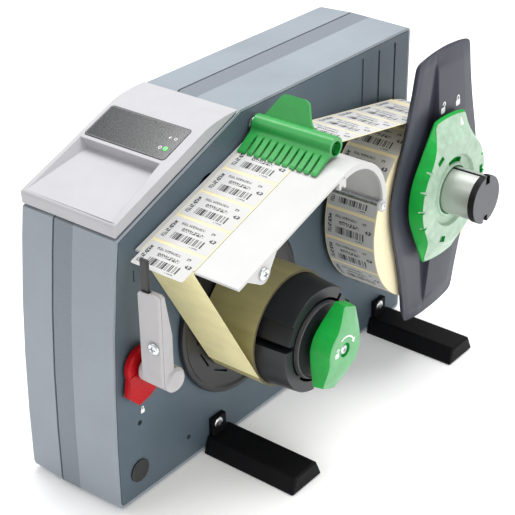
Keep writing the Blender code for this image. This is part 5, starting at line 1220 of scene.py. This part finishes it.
def stopStations(values, z, left, right):  # places across the face with their heights, from the left edge to the right one
    far = abs(z)
    soft, crisp, fold = (stepped(values["lines"], far, column) for column in (1, 2, 3))
    soft, crisp = (line - values["skew"] * max(0, z) for line in (soft, crisp))
    ends = far + (values["upperEnd"] if z > 0 else 0)
    grow = max(0.0, min(1.0, (100 - ends) / 40))  # the hollow deepens towards the middle
    rim, spine = values["rim"], values["spineRise"] * min(1, (108 - far) / 14 if far > 94 else 1)
    near = min(1.0, grow * 8)  # no step beyond the hollow's end
    rise = spine + (values["rimRise"] - spine) * near
    hollow = rise + (values["hollow"] - rise) * grow
    inner = rise - 1.5 * grow
    return [
        (left, 0.0), (left + 0.35, 0.0), (left + 0.8, 0.0), (left + 1.3, 0.0), (left + rim * 0.6, rise * 0.8),
        (left + rim, rise), (left + rim + 1.2, rise * 0.8), ((left + rim + soft) / 2, (rise + inner) / 2 + 0.1),
        (soft - 1.2, inner + 0.1), (soft, inner - 0.1), (soft + (crisp - soft) * 0.42, hollow * 0.9), (crisp - 0.5, hollow),
        (crisp, spine - 0.25 * near), (crisp + 0.5, spine), ((crisp + fold) / 2, spine + 0.15), (fold - 1.5, spine),
        (fold, spine - 0.15), (fold + 2.5, spine * 0.6), (right - 3.0, spine * 0.25), (right - 1.3, 0.0), (right - 0.8, 0.0),
        (right - 0.35, 0.0), (right, 0.0),
    ]


def makeStop(values):
    outline = stopOutline(values)
    top = max(z for y, z in outline) - 0.02
    face, back, curve, less = values["face"], values["back"], values["round"], values["backInset"]
    narrower, shorter = 1 - less / values["halfWidth"], 1 - less / values["halfLength"]
    rings = []
    for row in range(values["rows"] + 1):
        z = math.sin(math.pi / 2 * (2 * row / values["rows"] - 1)) * top
        crossings = [ay + (by - ay) * (z - az) / (bz - az) for (ay, az), (by, bz) in sidesOf(outline)
                     if (az - z) * (bz - z) <= 0 and az != bz]
        left, right = min(crossings), max(crossings)
        stations = stopStations(values, z, left, right)
        side = supplyAxis[0] + values["skew"] * z
        least = (right - left) / len(stations) / 8  # the stations keep their order on a narrow row
        fronts = []
        backs = []
        for index, (y, height) in enumerate(stations):
            y = max(left + least * index, min(right - least * (len(stations) - 1 - index), y))
            short = max(0, 1 - distanceTo(outline, (y, z)) / curve)
            drop = curve * (1 - math.sqrt(max(0, 1 - short ** 2)))
            fronts.append((face + height - drop, side + y, supplyAxis[1] + z))
            backs.append((back, side + y * narrower, supplyAxis[1] + z * shorter))
        rings.append(fronts + backs[::-1])
    stop = meshOf(skin(rings), "marginStop", 0.0005)
    bore, hub, top = values["bore"], values["hubRadius"], face + values["hubRise"]
    unite(stop, spun([(face - 2, bore - 2), (face - 2, hub), (top - 0.4, hub), (top, hub - 0.4), (top, bore - 2)], supplyAxis))
    subtract(stop, spun([(back - 3, 0.01), (back - 3, bore), (face + 9, bore), (face + 9, 0.01)], supplyAxis))
    smoothed(stop, 24)
    stop = plainMesh(stop, "marginStop")
    clearTools()
    dress(stop, "stopPlastic", "stop", ("margin_stop",))


makeStop(stopShape)

stopKnob = {
    "hub": 46.2, "wing": 60.2, "halfWidth": 20.6, "tipHollow": 0.026, "turn": math.radians(86), "flank": 0.95, "start": 61.2,
    "end": 72.8, "wingDrop": 8.4, "hubShare": 0.95, "tipShare": 0.972, "flankDraft": 0.24, "flatRadius": 42.6, "bore": 18.4,
    "hubSeat": 26.4, "seatDepth": 2.9, "dish": 28.0, "dishDepth": 3.0, "steps": 240,
    "slotRadius": 38.6, "slotAngles": (5, 125, 249), "slotHalf": (2.3, 3.8), "slotDepth": 2.6,
    "windowInner": 21.6, "windowOuter": 25.4, "windowStart": math.radians(62), "windowEnd": math.radians(104),
    "ribs": 4, "ribStart": math.radians(143), "ribPitch": math.radians(20), "ribHalf": 1.5,
}


def knobStep(y, z):  # the step of the knob's outline that a place lies at
    return round(math.atan2(z, y) / (2 * math.pi) * stopKnob["steps"]) % stopKnob["steps"]


def stopFaceX(y, z):  # where the knob's face lies, flat in the middle and sloping down the wings
    _, _, rim, rimX = stopKnobForm
    step = knobStep(y, z)
    inner = stopKnob["flatRadius"]
    share = max(0.0, (math.hypot(y, z) - inner) / (rim[step] - inner))
    return stopKnob["end"] + (rimX[step] - stopKnob["end"]) * share


def makeStopKnob(values, form):
    edge, wing, rim, rimX = form
    start, end, dish, bore, seatRadius = (values[key] for key in ("start", "end", "dish", "bore", "hubSeat"))
    floor, seat = end - values["dishDepth"], start + values["seatDepth"]
    sections = [
        (seat, bore), (seat, seatRadius), (start, seatRadius), (start, plus(edge, -0.5)), (start + 0.5, edge),
        (start + 1.6, [out * 0.998 for out in edge]), (plus(rimX, -0.8), plus(rim, 0.35)), (plus(rimX, -0.2), plus(rim, 0.1)),
        (rimX, plus(rim, -0.4)), (end, values["flatRadius"]), (end, dish + 0.5), (end - 0.4, dish), (floor + 0.6, dish - 1.0),
        (floor, dish - 2.0), (floor, bore + 3.2), (floor + 1.4, bore + 2.4), (floor + 1.4, bore + 0.8), (floor - 0.4, bore + 0.8),
        (floor - 0.8, bore), (seat, bore),
    ]
    knob = meshOf(skin(alignedRings(supplyAxis, values["steps"], sections), False, False), "stopKnob")
    wide, long = values["slotHalf"]
    for angle in values["slotAngles"]:
        turn = math.radians(angle)
        tool = block((end - values["slotDepth"], -wide, -long), (end + 2, wide, long))
        spot = onCircle(supplyAxis, values["slotRadius"], turn)
        tool.transform(Matrix.Translation((0, *spot)) @ Matrix.Rotation(turn, 4, "X"))
        subtract(knob, tool)
    first, last = values["windowStart"], values["windowEnd"]
    window = arc(supplyAxis, values["windowOuter"], first, last, 10) + arc(supplyAxis, values["windowInner"], last, first, 10)
    subtract(knob, slab(window, floor - 3.4, end + 2))
    half, hub = values["ribHalf"], values["hub"]
    high = end - start
    notch = hull([(x, hub * share, side * wide) for x, share, wide in (
        (high - 4.4, 0.985, 0.3), (high + 1, 0.86, half), (high + 1, 1.1, half), (high - 8, 1.1, 0.3)) for side in (-1, 1)])
    rib = shapeAtOrigin(notch, "knobRibs")
    for first in (values["ribStart"], values["ribStart"] + math.pi):
        subtract(knob, grow(link("knobRibs", rib.data.copy()), roundTree, {
            "Count": values["ribs"], "Centre": rowPlace(start, *supplyAxis), "Start": first, "Pitch": values["ribPitch"],
            "Material": finishes["greenPlastic"]}))
    bpy.data.objects.remove(rib)
    smoothed(knob, 24)
    knob = plainMesh(knob, "stopKnob")
    clearTools()
    # the knob's face that looks forward takes a pale green, a painted glare
    dress(knob, ("greenPlastic", "greenFace"), "stop_lock", ("stop_knob",))
    paleFace(knob, min(rimX) - 0.4, 0.6)
    for polygon in knob.data.polygons:
        spot = fromRow @ polygon.center - Vector((0, *supplyAxis))
        out, step = spot.yz.length, knobStep(spot.y, spot.z)
        if wing[step] > 0.01 and out > rim[step] + 0.15:  # the sides of the wings stay green
            polygon.material_index = 0
        if out < dish + 0.6:  # so do the window and the bore
            polygon.material_index = 0 if spot.x < floor - 0.4 or out < bore + 0.9 else 1


stopKnobForm = knobShape(stopKnob)
makeStopKnob(stopKnob, stopKnobForm)
print("stop and its knob ready")

# ---- pressure comb
combShape = {
    "axis": (137.1, 239.2), "left": 4.4, "right": 69.5, "hub": 6.9, "rise": 1.1, "bore": 2.9, "mouth": 5.0, "mouthDepth": 14.0,
    "slots": 10, "slotFirst": 11.6, "slotPitch": 5.86, "slotHalf": 0.92, "slotBack": -7.7, "lean": math.radians(27), "tabThick": 2.4,
    "slotFront": -26.0, "slotHeights": (-20.0, 9.0), "edge": 0.4,
    # the outline: the hub over the blade, the blade's top, tip and underside, and the hub's other side
    "upperArc": (math.radians(85), math.radians(186)), "lowerArc": (math.radians(225), math.radians(435)),
    "blade": [(-7.3, -0.7), (-8.0, -1.7), (-9.6, -3.0), (-13.4, -5.5), (-17.4, -8.0), (-20.6, -9.9)],
    "tip": [(-21.8, -10.6), (-22.3, -11.4), (-22.0, -12.1)],
    "under": [(-19.6, -11.6), (-14.4, -8.7), (-9.4, -5.9), (-5.4, -4.3)],
    "tab": [(4.8, 2.0), (6.2, 5.4), (8.6, 8.0), (11.2, 12.0), (14.2, 17.0), (16.8, 21.6), (18.6, 23.9), (21.6, 25.0), (34.6, 25.0),
            (37.8, 24.6), (40.3, 23.0), (42.0, 19.4), (44.4, 13.5), (47.4, 9.2), (52.0, 7.0), (58.0, 6.2), (68.0, 6.0), (68.0, 2.0)],
}


def makeComb(values):
    y, z = values["axis"]
    middle = (0, values["rise"])
    outline = arc(middle, values["hub"], *values["upperArc"], 20)
    outline += values["blade"] + values["tip"] + values["under"]
    outline += arc(middle, values["hub"], *values["lowerArc"], 28)
    left, right, bore, mouth = (values[key] for key in ("left", "right", "bore", "mouth"))
    comb = meshOf(slab([(y + a, z + b) for a, b in outline], left, right), "pressureComb")
    tab = smoothLoop(values["tab"], 1)
    half = values["tabThick"] / 2
    work = skin([[(x, side, height) for x, height in tab] for side in (-half, half)])
    work.transform(Matrix.Translation((0, y, z)) @ Matrix.Rotation(-values["lean"], 4, "X"))
    unite(comb, work)
    gap = values["slotHalf"]
    ends = [onCircle((0, values["slotBack"] - gap), gap, turn) for turn in (0, 0.8, math.pi / 2, math.pi - 0.8, math.pi)]
    ends += [(-gap, values["slotFront"]), (gap, values["slotFront"])]
    shape = skin([[(a, b, height) for a, b in ends] for height in values["slotHeights"]])
    shape.transform(Matrix.Rotation(-tableSlope, 4, "X"))
    subtract(comb, grow(shapeAtOrigin(shape, "combSlots"), rowTree, {
        "Count": values["slots"], "First": rowPlace(values["slotFirst"], y, z), "Step": rowVector(values["slotPitch"], 0, 0),
        "Material": finishes["combGreen"]}))
    wide = right - values["mouthDepth"]
    subtract(comb, spun([(wide, bore), (wide, mouth), (right + 2, mouth), (right + 2, bore)], values["axis"], 64))
    subtract(comb, spun([(left - 2, 0.01), (left - 2, bore), (right + 2, bore), (right + 2, 0.01)], values["axis"], 48))
    fine = rounded(comb, "pressureComb", values["edge"], 3, 34, 40)
    clearTools()
    dress(fine, "combGreen", "comb", ("pressure_comb",))


makeComb(combShape)
refine("comb_axle", 0.2, 2)
print("comb ready")

# ---- sensor arm and its clamp
for node, width in (("sensor_arm_front", 0.7), ("sensor_arm_rear", 0.7), ("sensor_finger", 0.2), ("clamp_lever", 1.0)):
    refine(node, width, 3)
armScrew, armMiddle = nodeBox("arm_screw")[0], middleOf("arm_screw")
setScrew("armScrewHead", (armMiddle.x, armScrew.y + 1.7, armMiddle.z), 4.5, "sensor_arm", "arm_screw", (0, 0, -math.pi / 2))
print("sensor arm ready")

# ---- plain signs: padlocks, arrows
signShape = {
    "thick": 0.07,
    # padlocks on the stop: place from its axis, size, opened or not
    "stopLocks": (((2.2, 60.6), 5.6, True), ((23.4, 60.4), 5.6, False)),
    "arrow": (
        (14.6, 53.4), (13.5, 52.2), (12.4, 51.0), (11.3, 49.8), (10.2, 48.6), (12.6, 48.3), (15.0, 48.0), (15.0, 49.4),
        (14.9, 50.7), (14.8, 52.0)),
    # the turning arrow on the winder's knob: radius, width, from and to, then the tip as radius and angle
    "turnRadius": 10.2, "turnWidth": 1.1, "turnStart": math.radians(28), "turnEnd": math.radians(118),
    "turnTip": ((12.4, math.radians(28)), (8.0, math.radians(28)), (10.0, math.radians(10))),
    "knobLock": ((-9.5, 0.4), 4.2, True), "plateLock": ((15.3, 71.5), 3.6, False),
}


def onPlane(x):  # signs on a face that looks to the right
    return lambda y, z, lift: (x + lift, y, z)


def padlock(x, axis, spot, size, opened):
    y, z = axis[0] + spot[0], axis[1] + spot[1]
    body = roundedBox((y - 0.5 * size, z - 0.55 * size), (y + 0.5 * size, z + 0.3 * size), 0.22 * size, 4)
    lean = math.radians(-38 if opened else 0)
    foot = (y + 0.26 * size, z + 0.3 * size)
    shackle = [(y + 0.26 * size, z + 0.25 * size)] + arc((y, z + 0.62 * size), 0.26 * size, 0, math.pi, 10)
    leaning = []
    for a, b in shackle + [(y - 0.26 * size, z + 0.34 * size)]:
        da, db = a - foot[0], b - foot[1]
        leaning.append((foot[0] + da * math.cos(lean) - db * math.sin(lean), foot[1] + da * math.sin(lean) + db * math.cos(lean)))
    thick = signShape["thick"]
    return [prism(onPlane(x), loop, -thick, thick) for loop in (body, stroke(leaning, 0.17 * size))]


def placeSigns(name, works, body):
    dress(meshOf(joined(works), name), "signWhite", body)


def makeSigns(values):
    thick = values["thick"]
    y, z = supplyAxis
    spine = stopShape["face"] + stopShape["spineRise"] + 0.12
    placeSigns("stopSigns", [work for lock in values["stopLocks"] for work in padlock(spine, supplyAxis, *lock)], "stop")
    work = prism(lambda a, b, lift: (stopFaceX(a, b) + lift, y + a, z + b), values["arrow"], -0.3, 0.12)
    placeSigns("stopKnobArrow", [work], "stop_lock")
    face = winderKnob["end"]
    turnMark = stroke(arc(winderAxis, values["turnRadius"], values["turnStart"], values["turnEnd"], 14), values["turnWidth"])
    tip = [onCircle(winderAxis, *corner) for corner in values["turnTip"]]
    works = [prism(onPlane(face), loop, -thick, thick) for loop in (turnMark, tip)]
    placeSigns("winderKnobSigns", works + padlock(face, winderAxis, *values["knobLock"]), "winder_lock")
    placeSigns("plateSign", padlock(0.0, (0, 0), *values["plateLock"]), "frame")


makeSigns(signShape)
print("signs ready")
